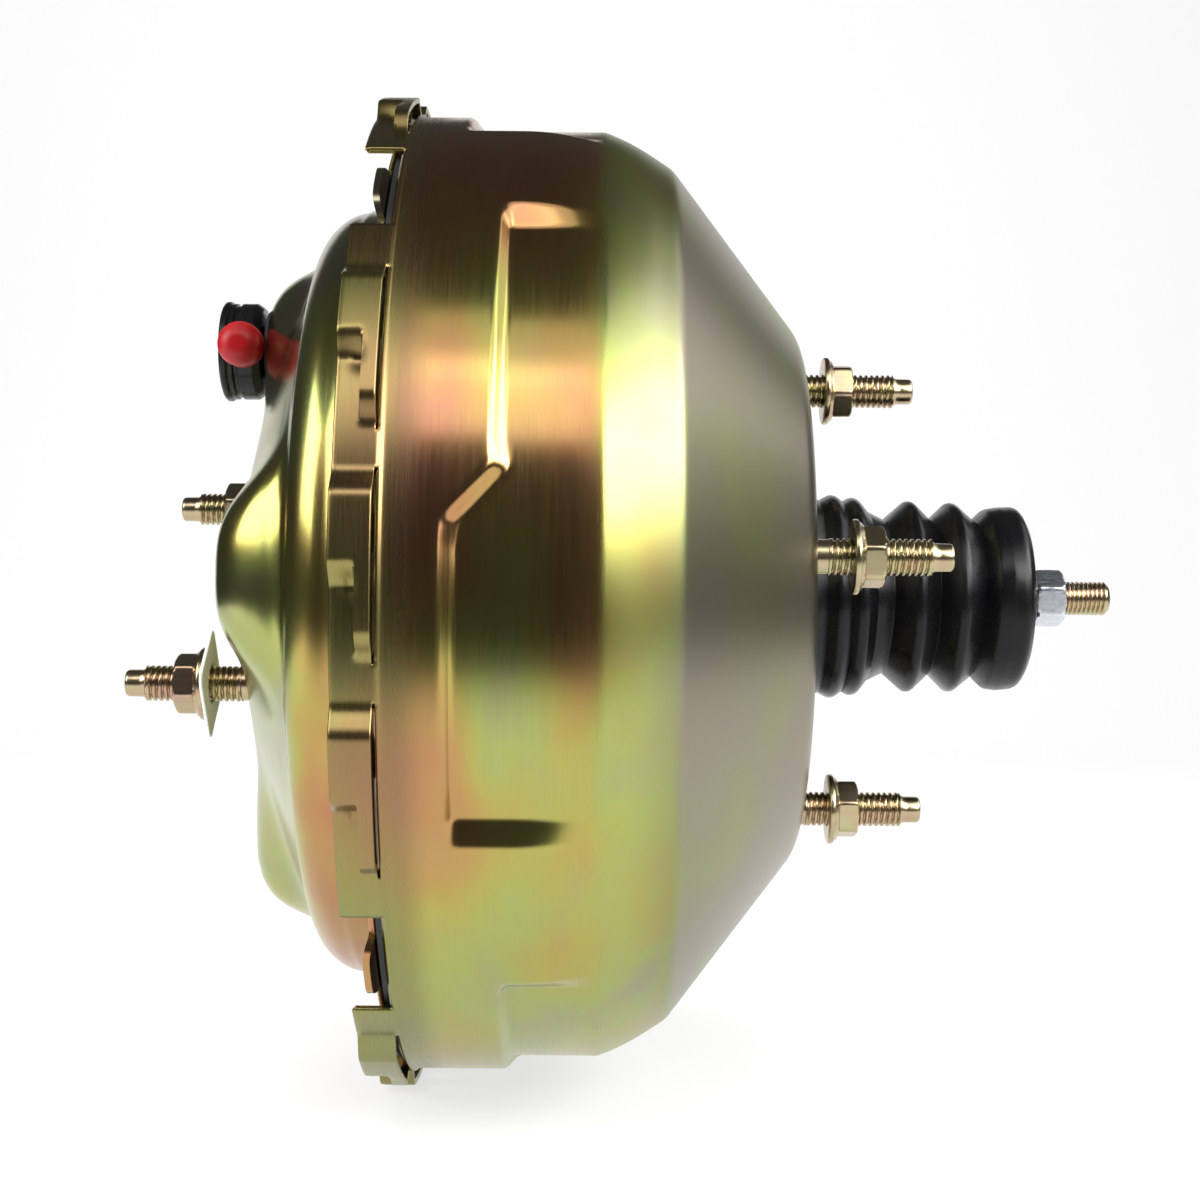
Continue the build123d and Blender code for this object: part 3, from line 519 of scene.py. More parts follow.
def steady_curve(xs: Sequence[float], ys: Sequence[float], at: np.ndarray) -> np.ndarray:
    """Return a smooth curve through points that never overshoots them.

    Args:
        xs: Rising stations.
        ys: Values there.
        at: Places to read.

    Returns:
        Values of the curve.
    """
    x, y = np.asarray(xs, float), np.asarray(ys, float)
    h, d = np.diff(x), np.diff(y) / np.diff(x)
    slope = np.zeros_like(y)
    slope[0], slope[-1] = d[0], d[-1]
    same = d[:-1] * d[1:] > 0
    w1, w2 = 2 * h[1:] + h[:-1], h[1:] + 2 * h[:-1]
    with np.errstate(divide="ignore", invalid="ignore"):
        inner = (w1 + w2) / (w1 / d[:-1] + w2 / d[1:])
    slope[1:-1] = np.where(same, inner, 0.0)
    i = np.clip(np.searchsorted(x, at) - 1, 0, len(x) - 2)
    t = (np.clip(at, x[0], x[-1]) - x[i]) / h[i]
    a, b = (1 + 2 * t) * (1 - t) ** 2, t * (1 - t) ** 2
    c, e = t * t * (3 - 2 * t), t * t * (t - 1)
    return a * y[i] + b * h[i] * slope[i] + c * y[i + 1] + e * h[i] * slope[i + 1]


def bent_path(corners: Sequence[tuple[float, float, float]], step: float) -> np.ndarray:
    """Return points along straight runs joined by tangent arcs.

    Args:
        corners: Place along the axis, radius and bend radius of each corner.
        step: Largest distance between points.

    Returns:
        Array of (x, r) points.
    """
    points: list[np.ndarray] = []
    last: Optional[np.ndarray] = None
    for i, (x, r, bend) in enumerate(corners):
        corner = np.array((x, r), float)
        arc = [corner]
        if bend > 0 and 0 < i < len(corners) - 1:
            before = np.array(corners[i - 1][:2], float) - corner
            after = np.array(corners[i + 1][:2], float) - corner
            before, after = before / np.linalg.norm(before), after / np.linalg.norm(after)
            half = math.acos(float(np.clip(before @ after, -1, 1))) / 2.0
            middle = (before + after) / np.linalg.norm(before + after)
            centre = corner + middle * bend / math.sin(half)
            start = corner + before * bend / math.tan(half)
            end = corner + after * bend / math.tan(half)
            a, b = start - centre, end - centre
            sweep = math.pi - 2.0 * half
            count = max(4, int(bend * sweep / step) + 1)
            arc = [
                centre + (math.sin((1 - k / count) * sweep) * a + math.sin(k / count * sweep) * b) / math.sin(sweep)
                for k in range(count + 1)
            ]
        if last is not None:
            gap = float(np.linalg.norm(arc[0] - last))
            count = max(1, int(gap / step))
            points += [last + (arc[0] - last) * k / count for k in range(1, count)]
        points += arc
        last = arc[-1]
    return np.array(points)


def clock_ring(count: int) -> np.ndarray:
    """Return evenly spaced clock angles in radians."""
    return np.linspace(0.0, 2.0 * math.pi, count, endpoint=False)


def turned_points(x: np.ndarray, r: np.ndarray, clock: np.ndarray) -> np.ndarray:
    """Return points in the row frame, in millimetres, from axis place, radius and clock angle."""
    x, r, clock = np.broadcast_arrays(x, r, clock)
    return np.stack([x, -r * np.cos(clock), r * np.sin(clock)], axis=-1)


def linked_piece(
    name: str, points: np.ndarray, faces: Sequence[Sequence[int]], flat_angle: Optional[float] = None
) -> bpy.types.Object:
    """Return a smooth, linked object from points in millimetres and faces.

    Args:
        name: Name of the piece.
        points: Points, the last dimension being X, Y and Z.
        faces: Corner numbers of each face.
        flat_angle: Edges sharper than this many degrees stay crisp.

    Returns:
        The linked object.
    """
    mesh = bpy.data.meshes.new(name)
    mesh.from_pydata((points.reshape(-1, 3) * MM).tolist(), [], faces)
    mesh.polygons.foreach_set("use_smooth", np.ones(len(mesh.polygons), bool))
    if flat_angle is not None:
        mesh.set_sharp_from_angle(angle=math.radians(flat_angle))
    piece = bpy.data.objects.new(name, mesh)
    bpy.context.scene.collection.objects.link(piece)
    return piece


def thread_groove(rows: np.ndarray, clock: np.ndarray, pitch: float) -> np.ndarray:
    """Return the share of the thread depth cut at each row and clock angle of a turned bar."""
    u = np.mod(rows[:, None] / pitch - clock[None, :] / (2 * math.pi), 1.0)
    return np.clip(1.35 - np.abs(2.0 * u - 1.0) * 2.2, 0.0, 1.0)


def hexagon_radius(clock: np.ndarray, flats: float, blunt: float, turn: float = 0.0) -> np.ndarray:
    """Return the radius of a hexagon at each clock angle.

    Args:
        clock: Clock angles in radians.
        flats: Width across the flats.
        blunt: Amount taken off each corner.
        turn: Rotation of the hexagon in degrees.

    Returns:
        Radius in millimetres.
    """
    flat = np.mod(clock + math.radians(turn) + math.pi / 6.0, math.pi / 3.0) - math.pi / 6.0
    return np.minimum(flats / 2.0 / np.cos(flat), flats / 2.0 / math.cos(math.pi / 6.0) - blunt)


def grid_piece(
    name: str,
    points: np.ndarray,
    keep: Optional[np.ndarray] = None,
    closed_rows: bool = False,
    flat_angle: float = 38.0,
) -> bpy.types.Object:
    """Return an object from a grid of points whose columns run all the way round.

    Args:
        name: Name of the piece.
        points: Rows by columns by three, in millimetres.
        keep: Mask of the cells that stay, rows less one by columns.
        closed_rows: Join the last row to the first.
        flat_angle: Edges sharper than this many degrees stay crisp.

    Returns:
        The linked object.
    """
    rows, cols = points.shape[:2]
    index = np.arange(rows * cols).reshape(rows, cols)
    across = np.roll(index, -1, axis=1)
    low, low_next = (index, across) if closed_rows else (index[:-1], across[:-1])
    high, high_next = np.roll(index, -1, axis=0), np.roll(across, -1, axis=0)
    if not closed_rows:
        high, high_next = high[:-1], high_next[:-1]
    cells = np.stack([low, low_next, high_next, high], axis=-1)
    cells = cells[keep] if keep is not None else cells.reshape(-1, 4)
    used = np.unique(cells)
    remap = np.full(rows * cols, -1)
    remap[used] = np.arange(len(used))
    piece = linked_piece(name, points.reshape(-1, 3)[used], remap[cells].tolist(), flat_angle)
    piece.data.validate()
    return piece


def stacked(clock: np.ndarray, *blocks: np.ndarray) -> np.ndarray:
    """Return blocks of rows one under another, each spread over every clock angle."""
    return np.concatenate([block + 0.0 * clock for block in blocks])


def lathe(name: str, corners: Sequence[tuple[float, float, float]], step: float, count: int) -> bpy.types.Object:
    """Return a piece turned about the local X axis.

    Args:
        name: Name of the piece.
        corners: Closed outline as for bent_path.
        step: Largest distance between its points.
        count: Number of columns.

    Returns:
        The linked object.
    """
    outline = bent_path(corners, step)
    points = turned_points(outline[:, :1], outline[:, 1:], clock_ring(count)[None, :])
    return grid_piece(name, points, None, True)


def joined(name: str, parts: Sequence[bpy.types.Object]) -> bpy.types.Object:
    """Return several objects joined into one of the given name.

    Args:
        name: Name of the joined piece.
        parts: Objects to join.

    Returns:
        The joined object.
    """
    bpy.ops.object.select_all(action="DESELECT")
    for part in parts:
        part.select_set(True)
    bpy.context.view_layer.objects.active = parts[0]
    if len(parts) > 1:
        bpy.ops.object.join()
    piece = bpy.context.view_layer.objects.active
    piece.name = name
    piece.data.name = name
    return piece


def moved(piece: bpy.types.Object, matrix: Matrix) -> bpy.types.Object:
    """Return the piece with a transform written into its mesh."""
    piece.data.transform(matrix)
    if matrix.determinant() < 0:
        piece.data.flip_normals()
    return piece


def thickened(piece: bpy.types.Object, thickness: float, offset: float = -1.0) -> bpy.types.Object:
    """Give a sheet piece its wall.

    Args:
        piece: Open sheet.
        thickness: Wall in millimetres.
        offset: Side of the sheet that the wall grows to.

    Returns:
        The same piece.
    """
    wall = piece.modifiers.new("wall", "SOLIDIFY")
    wall.thickness = thickness * MM
    wall.offset = offset
    wall.use_even_offset = True
    wall.use_quality_normals = True
    return piece


# Sub-assemblies


@dataclass
class SubAssembly:
    """Group of pieces that dress the CAD nodes of one part of the booster."""

    body: str = "housing"

    def seat(
        self,
        piece: bpy.types.Object,
        finish: bpy.types.Material,
        slot: str,
        nodes: Sequence[str] = (),
        body: Optional[str] = None,
        squash: Optional[Callable[[bpy.types.Object], object]] = None,
    ) -> bpy.types.Object:
        """Dress a piece and let it ride its body.

        Args:
            piece: Finished object.
            finish: Material to put on it.
            slot: Material slot of the record; not used.
            nodes: CAD nodes it stands for.
            body: Body it rides, where it isn't the group's own.
            squash: Call run on the piece once it is seated.

        Returns:
            The piece.
        """
        piece.data.materials.clear()
        piece.data.materials.append(finish)
        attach(piece, body or self.body)
        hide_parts(*nodes)
        if squash:
            squash(piece)
        LOG.info("%s: %d faces on %s", piece.name, len(piece.data.polygons), body or self.body)
        return piece


@dataclass
class RearShell(SubAssembly):
    """Deep drum with stepped recesses, cone and neck, and the lanced twist-lock rim."""

    sheet: float = 1.6
    drum_r: float = 132.2
    clock: float = SQUARE_CLOCK
    columns: int = 960
    recess_floor: float = 128.6
    recess_wide_x: float = -90.6
    recess_narrow_x: float = -79.9
    recess_step: tuple[float, float] = (-2.9, 3.6)
    recess_half: float = 36.0
    recess_ramp: float = 3.6
    recess_wall: float = 3.9
    rim_x: float = -114.0
    drum_x: float = -102.6
    edge_roll: float = 0.35
    band_r: float = 133.2
    bridge_r: float = 137.3
    pitch: float = 22.5
    gap_start: float = 1.4
    gap_end: float = 16.8
    slit: tuple[float, float] = (-104.6, -103.7)
    tongue_x: float = -108.2
    bridge_drop: tuple[float, float] = (8.9, 11.7)
    tongue_drop: tuple[float, float] = (15.6, 18.7)

    # Axis places of the rows between the rim's front edge and its slit.
    RIM_ROWS = (-113.7, -112.6, -111.4, -110.2, -109.2, -108.5, -108.0, -107.2, -106.3, -105.4, -104.9)

    def outline(self) -> np.ndarray:
        """Return the outer path of the drum from the slit to the neck."""
        corners = [
            (self.drum_x, self.drum_r, 0.0),
            (-57.0, self.drum_r, 62.0),
            (-36.0, self.drum_r - 13.4, 9.0),
            (0.0, 72.5, 14.0),
            (0.0, 31.6, 2.2),
            (-0.6, 29.0, 2.2),
            (-0.6, 24.0, 2.6),
            (9.0, 24.0, 0.0),
        ]
        return bent_path(corners, 1.1)

    def bridge_turn(self, clock: np.ndarray) -> np.ndarray:
        """Return how far past the start of its bridge station each clock angle lies, in degrees."""
        start = self.clock + BRIDGE_START
        return np.mod(start - np.degrees(clock), self.pitch)

    def in_gap(self, clock: np.ndarray) -> np.ndarray:
        """Return which clock angles lie in a gap station of the rim."""
        start = self.clock + BRIDGE_START
        turn = np.mod(start - np.degrees(clock), 90.0) - 2.0 * self.pitch
        return (turn > -0.01) & (turn < self.pitch)

    def bridge_lift(self, clock: np.ndarray, drop: tuple[float, float]) -> np.ndarray:
        """Return the height of the bridges, as a share, at each clock angle.

        Args:
            clock: Clock angles.
            drop: Start and end of the falling ramp, in degrees past the start.

        Returns:
            Share of the full lift.
        """
        turn = self.bridge_turn(clock)
        rise = soft_ramp(turn / 3.3, 0.35)
        fall = 1.0 - soft_ramp((turn - drop[0]) / (drop[1] - drop[0]), 0.35)
        return np.where(self.in_gap(clock), 0.0, rise * fall)

    def recess_depth(self, x: np.ndarray, clock: np.ndarray) -> np.ndarray:
        """Return the share of the recess depth at each place of the drum.

        Args:
            x: Axis place.
            clock: Clock angle in radians.

        Returns:
            Share from 0 to 1.
        """
        turn = np.mod(np.degrees(clock) - self.clock + 45.0, 90.0) - 45.0
        low, high = self.recess_step
        step = soft_ramp((turn - low) / (high - low), 0.22)
        edge = self.recess_wide_x + (self.recess_narrow_x - self.recess_wide_x) * step
        lean = 1.0 + 0.45 * np.exp(-(((turn - (low + high) / 2) / 4.0) ** 4))
        wall = soft_ramp((x - edge) / (self.recess_wall * lean), 0.38)
        ends = soft_ramp((self.recess_half - np.abs(turn)) / self.recess_ramp, 0.2)
        return wall * ends

    def build(self, finish: bpy.types.Material) -> bpy.types.Object:
        """Build the shell as one sheet, with its slits and gaps cut out.

        Args:
            finish: Plate of the shell.

        Returns:
            The dressed piece.
        """
        clock = clock_ring(self.columns)[None, :]
        rim = np.array([self.rim_x, *self.RIM_ROWS, *self.slit, -103.2])[:, None]
        front = self.bridge_lift(clock, self.bridge_drop)
        tongue = self.bridge_lift(clock, self.tongue_drop)
        lift = np.where(rim < self.tongue_x, front, tongue)
        lift = np.where(rim > self.slit[0], 0.0, lift)
        dent = np.exp(-(((self.bridge_turn(clock) - 11.4) / 1.3) ** 2)) * np.exp(-(((rim + 109.3) / 1.6) ** 2))
        base = self.drum_r + (self.band_r - self.drum_r) * soft_ramp((self.drum_x - rim) / 1.6)
        edge = self.edge_roll * soft_ramp((rim - self.rim_x) / 0.5)
        raised = (self.bridge_r - self.band_r) * lift
        rim_r = base - self.edge_roll + edge + raised - 0.9 * dent * (1.0 - self.in_gap(clock))
        path = self.outline()
        x, r = path[:, 0][:, None], path[:, 1][:, None]
        over = np.maximum(r - self.recess_floor, 0.0)
        over = over * soft_ramp(over / 0.5, 0.5) ** 0.5
        depth = self.recess_depth(x, clock) * over
        drum_r = np.where((x < -40.0) & (r > 110.0), r - depth, r)
        xs, rs = stacked(clock, rim, x), stacked(clock, rim_r, drum_r)
        keep = self._cells(xs, clock)
        piece = grid_piece("rear_shell_drawn", turned_points(xs, rs, clock), keep, flat_angle=50.0)
        thickened(piece, self.sheet - SHEET_SLACK, 1.0)
        return self.seat(piece, finish, "yellow_zinc_shell", ["rear_shell"])

    def _cells(self, xs: np.ndarray, clock: np.ndarray) -> np.ndarray:
        """Return the mask of cells that are metal.

        Args:
            xs: Axis place of each grid point.
            clock: Clock angle of each column.

        Returns:
            Mask of rows less one by columns.
        """
        middle_x = 0.5 * (xs[:-1] + xs[1:])
        middle = clock + math.pi / self.columns
        turn = self.bridge_turn(middle)
        gap = self.in_gap(middle) & (turn > self.gap_start) & (turn < self.gap_end)
        bridged = (turn < self.tongue_drop[1]) & ~self.in_gap(middle)
        slit = (middle_x > self.slit[0]) & (middle_x < self.slit[1]) & bridged
        return ~((gap & (middle_x < self.slit[1])) | slit)


@dataclass
class FrontShell(SubAssembly):
    """Lobed front cover with its pilot cup and the lugs of its flange."""

    sheet: float = 1.6
    clock: float = SQUARE_CLOCK
    columns: int = 720
    flange_x: float = -108.2
    flange_r: float = 129.8
    wall_r: float = 107.2
    lobe_half: float = 28.5
    lobe_clock: float = 4.0
    lug_count: int = 16
    lug_pitch: float = 22.5

    VALLEY = [
        (20.6, -148.0), (46.0, -148.0), (50.0, -147.5), (54.0, -146.2), (60.0, -144.0), (71.0, -139.6),
        (82.0, -135.0), (88.0, -132.4), (92.0, -130.8), (95.5, -130.0), (98.5, -129.3), (101.5, -127.6),
        (104.2, -124.8), (106.0, -121.4), (106.7, -118.2),
    ]
    LOBE = [
        (20.6, -148.0), (44.0, -148.0), (50.0, -148.9), (58.0, -150.0), (66.0, -150.4), (74.0, -150.2),
        (80.0, -149.0), (84.5, -146.6), (88.0, -142.8), (90.6, -137.6), (92.4, -133.0), (94.0, -130.8),
        (96.0, -130.0), (98.5, -129.3), (101.5, -127.6), (104.2, -124.8), (106.0, -121.4), (106.7, -118.2),
    ]

    def lobe_share(self, radius: np.ndarray, clock: np.ndarray) -> np.ndarray:
        """Return how much of the lobe form holds at each place of the cover.

        Args:
            radius: Distance from the axis.
            clock: Clock angle.

        Returns:
            Share from 0 to 1.
        """
        turn = np.mod(clock - math.radians(self.lobe_clock) + math.pi / 4, math.pi / 2) - math.pi / 4
        aside = np.abs(np.sin(turn)) * radius / self.lobe_half
        return np.exp(-((aside / 0.86) ** 3.3))

    def build(self, finish: bpy.types.Material) -> bpy.types.Object:
        """Build the cover and its lugs.

        Args:
            finish: Plate of the cover.

        Returns:
            The dressed piece.
        """
        clock = clock_ring(self.columns)[None, :]
        radius = np.concatenate([np.linspace(106.7, 84.0, 62), np.linspace(83.2, 44.0, 48), np.linspace(42.0, 23.4, 8)])
        valley = steady_curve(*zip(*self.VALLEY), radius)[:, None]
        lobe = steady_curve(*zip(*self.LOBE), radius)[:, None]
        share = self.lobe_share(radius[:, None], clock)
        face_x = valley + (lobe - valley) * share
        skirt = bent_path(
            [
                (-106.7, 129.2, 0), (self.flange_x, self.flange_r, 0.9), (self.flange_x, self.wall_r, 3.2),
                (-117.6, 107.1, 0),
            ],
            0.8,
        )
        cup = bent_path([(-148.0, 22.6, 0), (-148.0, 20.65, 1.7), (-132.0, 20.65, 1.6), (-132.0, 9.6, 0)], 0.7)
        xs = stacked(clock, skirt[:, :1], face_x, cup[:, :1])
        rs = stacked(clock, skirt[:, 1:], radius[:, None], cup[:, 1:])
        points = turned_points(xs, rs, clock)
        cover = grid_piece("cover_sheet", points, flat_angle=60.0)
        thickened(cover, self.sheet - SHEET_SLACK)
        self._check_side(cover)
        cover = self.seat(cover, finish, "yellow_zinc_shell", ["front_shell"])
        cover.name = "front_shell_drawn"
        lugs = joined("flange_lugs", self.lugs())
        self.seat(lugs, finish, "yellow_zinc_shell")
        return cover

    @staticmethod
    def _check_side(piece: bpy.types.Object) -> None:
        """Turn the sheet over if its faces look inwards."""
        total = sum((p.normal.x * p.area for p in piece.data.polygons), 0.0)
        if total > 0:
            piece.data.flip_normals()

    def lugs(self) -> list[bpy.types.Object]:
        """Return the lugs under the bridges and the leaning lugs in the gaps."""
        made = []
        for k in range(self.lug_count):
            start = self.clock + BRIDGE_START + self.lug_pitch * k
            if k % 4 == 2:
                made.append(self.lug(start - 5.0, start - 14.4, 134.4, 17.0))
            else:
                made.append(self.lug(start - 3.7, start - 8.5, 135.2, 0.0))
        return made

    def lug(self, start: float, end: float, top: float, lean: float) -> bpy.types.Object:
        """Return one rounded lug on the flange edge.

        Args:
            start: First clock angle in degrees.
            end: Last clock angle.
            top: Radius of its crest.
            lean: Forward lean in degrees.

        Returns:
            The lug, as a closed plate.
        """
        turns = np.linspace(0.0, 1.0, 25)
        crest = 1.0 - np.abs(2.0 * turns - 1.0) ** 5
        low = self.flange_r - 2.0
        levels = np.linspace(0.0, 1.0, 9)[:, None]
        radius = low + (top - low) * crest[None, :] * levels
        angle = np.radians(start + (end - start) * turns)[None, :]
        tilt = math.tan(math.radians(lean)) * np.maximum(radius - self.flange_r, 0.0)
        front = turned_points(self.flange_x - tilt, radius, angle)
        back = turned_points(self.flange_x + self.sheet - tilt, radius, angle)
        loop = np.concatenate([front, back[::-1]])
        rows, cols = loop.shape[:2]
        faces = [
            (i * cols + j, ((i + 1) % rows) * cols + j, ((i + 1) % rows) * cols + j + 1, i * cols + j + 1)
            for i in range(rows)
            for j in range(cols - 1)
        ]
        return linked_piece("lug", loop, faces, 35.0)


@dataclass
class StudSet(SubAssembly):
    """Dog-point studs of one end of the booster with their flange nuts."""

    side: Side = Side.PEDAL
    places: Sequence[tuple[float, float]] = ()
    foot_x: float = -1.0
    tip_x: float = 35.5
    nut_x: float = 9.5
    thread_from: float = 4.0
    major_r: float = 4.76
    thread_depth: float = 0.62
    pitch: float = 1.5875
    dog_r: float = 3.7
    dog_length: float = 5.6
    nut_flats: float = 14.3
    nut_height: float = 8.4
    flange_r: float = 9.75
    nut_turns: Sequence[float] = (0.0,)
    stud_turns: Sequence[float] = (20.0, 130.0, 75.0, 200.0)

    def stud(self) -> bpy.types.Object:
        """Return one stud on the local X axis, foot at the origin and tip towards +X."""
        length = abs(self.tip_x - self.foot_x)
        start, end = self.thread_from, length - self.dog_length
        rows = np.concatenate(
            [np.linspace(0.0, start, 6), np.arange(start + 0.18, end, 0.19), np.array([end, end + 0.35, end + 0.8])]
        )
        base = np.full(len(rows), self.major_r)
        base[rows <= start] = self.major_r - 0.25
        base[-3:] = (self.major_r - 0.55, self.dog_r + 0.35, self.dog_r)
        tip_rows = np.array([end + 2.2, length - 0.9, length - 0.45, length - 0.12, length, length])
        tip_r = np.append(self.dog_r - np.array([0.05, 0.08, 0.22, 0.55, 1.0]), 0.01)
        near = soft_ramp((rows - start) / 1.4) * (1.0 - soft_ramp((rows - end + 0.9) / 1.0))
        clock = clock_ring(40)
        groove = thread_groove(rows, clock, self.pitch)
        radius = base[:, None] - self.thread_depth * near[:, None] * groove
        xs = stacked(clock, rows[:, None], tip_rows[:, None])
        rs = stacked(clock, radius, tip_r[:, None])
        return grid_piece("stud", turned_points(xs, rs, clock[None, :]), flat_angle=42.0)

    def nut(self) -> bpy.types.Object:
        """Return one flange nut on the local X axis, flange face at the origin."""
        corner = self.nut_flats / 2.0 / math.cos(math.pi / 6.0)
        clock = clock_ring(96)
        hexagon = hexagon_radius(clock, self.nut_flats, 0.18)
        outline = [
            (0.0, 4.9), (0.0, 6.5), (0.0, self.flange_r - 0.5), (0.18, self.flange_r - 0.12), (0.5, self.flange_r),
            (1.1, self.flange_r), (1.45, self.flange_r - 0.15), (1.75, self.flange_r - 0.6), (2.5, corner + 0.35),
            (2.95, corner - 0.35), (3.2, corner), (5.5, corner), (7.2, corner), (7.65, corner - 0.3),
            (8.0, corner - 0.75), (8.3, corner - 1.35), (8.4, corner - 1.8), (8.4, 5.6), (7.9, 4.9),
        ]
        xs, rs = np.array(outline).T
        free = (xs >= 2.9) & (rs > 6.0)
        radius = np.where(free[:, None], np.minimum(rs[:, None], hexagon[None, :]), rs[:, None])
        points = turned_points(xs[:, None] * self.nut_height / 8.4, radius, clock[None, :])
        return grid_piece("nut", points, None, True, 32.0)

    def spread(self, piece: bpy.types.Object, x: float, turns: Sequence[float], name: str) -> bpy.types.Object:
        """Return one joined piece with a copy at each place.

        Args:
            piece: Fastener on the local X axis.
            x: Axis place of its origin.
            turns: Rotation of each copy about its own axis.
            name: Name of the joined piece.

        Returns:
            The joined object.
        """
        copies = []
        flip = Matrix.Rotation(math.pi, 4, "Z") if self.side is Side.CYLINDER else Matrix.Identity(4)
        for k, (radius, clock) in enumerate(self.places):
            copy = piece if k == len(self.places) - 1 else piece.copy()
            if copy is not piece:
                copy.data = piece.data.copy()
                bpy.context.scene.collection.objects.link(copy)
            angle = math.radians(clock)
            where = Matrix.Translation((x * MM, -radius * math.cos(angle) * MM, radius * math.sin(angle) * MM))
            moved(copy, where @ flip @ Matrix.Rotation(math.radians(turns[k % len(turns)]), 4, "X"))
            copies.append(copy)
        return joined(name, copies)

    def build(self, finish: bpy.types.Material, nodes: tuple[str, str]) -> None:
        """Build the studs and the nuts.

        Args:
            finish: Plate of the fasteners.
            nodes: CAD node of the studs and of the nuts.
        """
        studs = self.spread(self.stud(), self.foot_x, self.stud_turns, nodes[0] + "_threaded")
        self.seat(studs, finish, "yellow_zinc_fastener", [nodes[0]])
        nuts = self.spread(self.nut(), self.nut_x, self.nut_turns, nodes[1] + "_forged")
        self.seat(nuts, finish, "yellow_zinc_fastener", [nodes[1]])


@dataclass
class StudCard(SubAssembly):
    """Blank card pushed over the near front stud."""

    x: float = -159.4
    side: float = 22.0
    corner: float = 3.0
    turn: float = 38.0
    place: tuple[float, float] = (42.85, -35.0)
    thickness: float = 0.8
    hole_r: float = 4.95

    def build(self, finish: bpy.types.Material) -> bpy.types.Object:
        """Build the card as a thin, slightly curled plate.

        Args:
            finish: Card stock.

        Returns:
            The dressed piece.
        """
        clock = clock_ring(120)
        half, bend = self.side / 2.0, self.corner
        reach = np.empty_like(clock)
        for i, angle in enumerate(clock):
            direction = np.abs(np.array([math.cos(angle), math.sin(angle)]))
            square = half / direction.max()
            point = direction * square
            if point.min() > half - bend:
                centre = np.array([half - bend, half - bend])
                along = float(direction @ centre)
                square = along + math.sqrt(max(along * along - float(centre @ centre) + bend * bend, 0.0))
            reach[i] = square
        rings = np.linspace(0.0, 1.0, 12)[:, None]
        radius = self.hole_r + (reach[None, :] - self.hole_r) * rings
        across = radius * np.cos(clock[None, :])
        curl = 0.0022 * across**2 * np.sign(across) * 0.6
        angle = math.radians(self.place[1])
        centre = (0.0, -self.place[0] * math.cos(angle), self.place[0] * math.sin(angle))
        points = turned_points(self.x + curl, radius, clock[None, :])
        piece = grid_piece("stud_card_stock", points, flat_angle=60.0)
        thickened(piece, self.thickness, 1.0)
        moved(piece, Matrix.Translation(Vector(centre) * MM) @ Matrix.Rotation(math.radians(self.turn), 4, "X"))
        return self.seat(piece, finish, "card_paper", ["stud_card"])


@dataclass
class Bellows(SubAssembly):
    """Rubber boot from the neck to the pedal rod."""

    wall: float = 1.3
    travel: float = 32.0
    columns: int = 144

    OUTLINE = [
        (-0.1, 27.2, 0.0), (3.4, 28.5, 1.4), (7.3, 25.9, 1.1), (11.0, 27.9, 1.4), (14.1, 25.6, 1.0), (17.2, 27.3, 1.5),
        (20.6, 23.3, 1.6), (26.4, 20.4, 1.6), (32.9, 26.2, 1.0), (39.0, 20.2, 1.4), (45.0, 26.0, 1.0),
        (51.6, 20.4, 1.3), (55.6, 24.4, 1.4), (58.4, 24.8, 2.0), (62.6, 24.7, 1.7), (64.0, 22.2, 1.2),
        (65.4, 12.2, 1.4), (67.4, 9.0, 0.8), (68.4, 5.2, 0.0),
    ]

    def build(self, finish: bpy.types.Material) -> bpy.types.Object:
        """Build the boot and give it a mesh of its own.

        Args:
            finish: Boot rubber.

        Returns:
            The dressed piece.
        """
        path = bent_path(self.OUTLINE, 0.45)
        clock = clock_ring(self.columns)[None, :]
        x, r = path[:, :1], path[:, 1:]
        sway = 0.22 * np.sin(3 * clock + x * 0.11) + 0.12 * np.sin(7 * clock - x * 0.23)
        loose = soft_ramp((x - 12.0) / 12.0) * (1.0 - soft_ramp((x - 58.0) / 6.0))
        slant = 0.35 * loose * np.sin(2 * clock + 0.7)
        piece = grid_piece("boot_bellows", turned_points(x + slant, r + loose * sway, clock))
        thickened(piece, self.wall)
        return self.seat(
            piece, finish, "boot_rubber", ["boot"],
            squash=lambda o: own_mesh(o),
        )


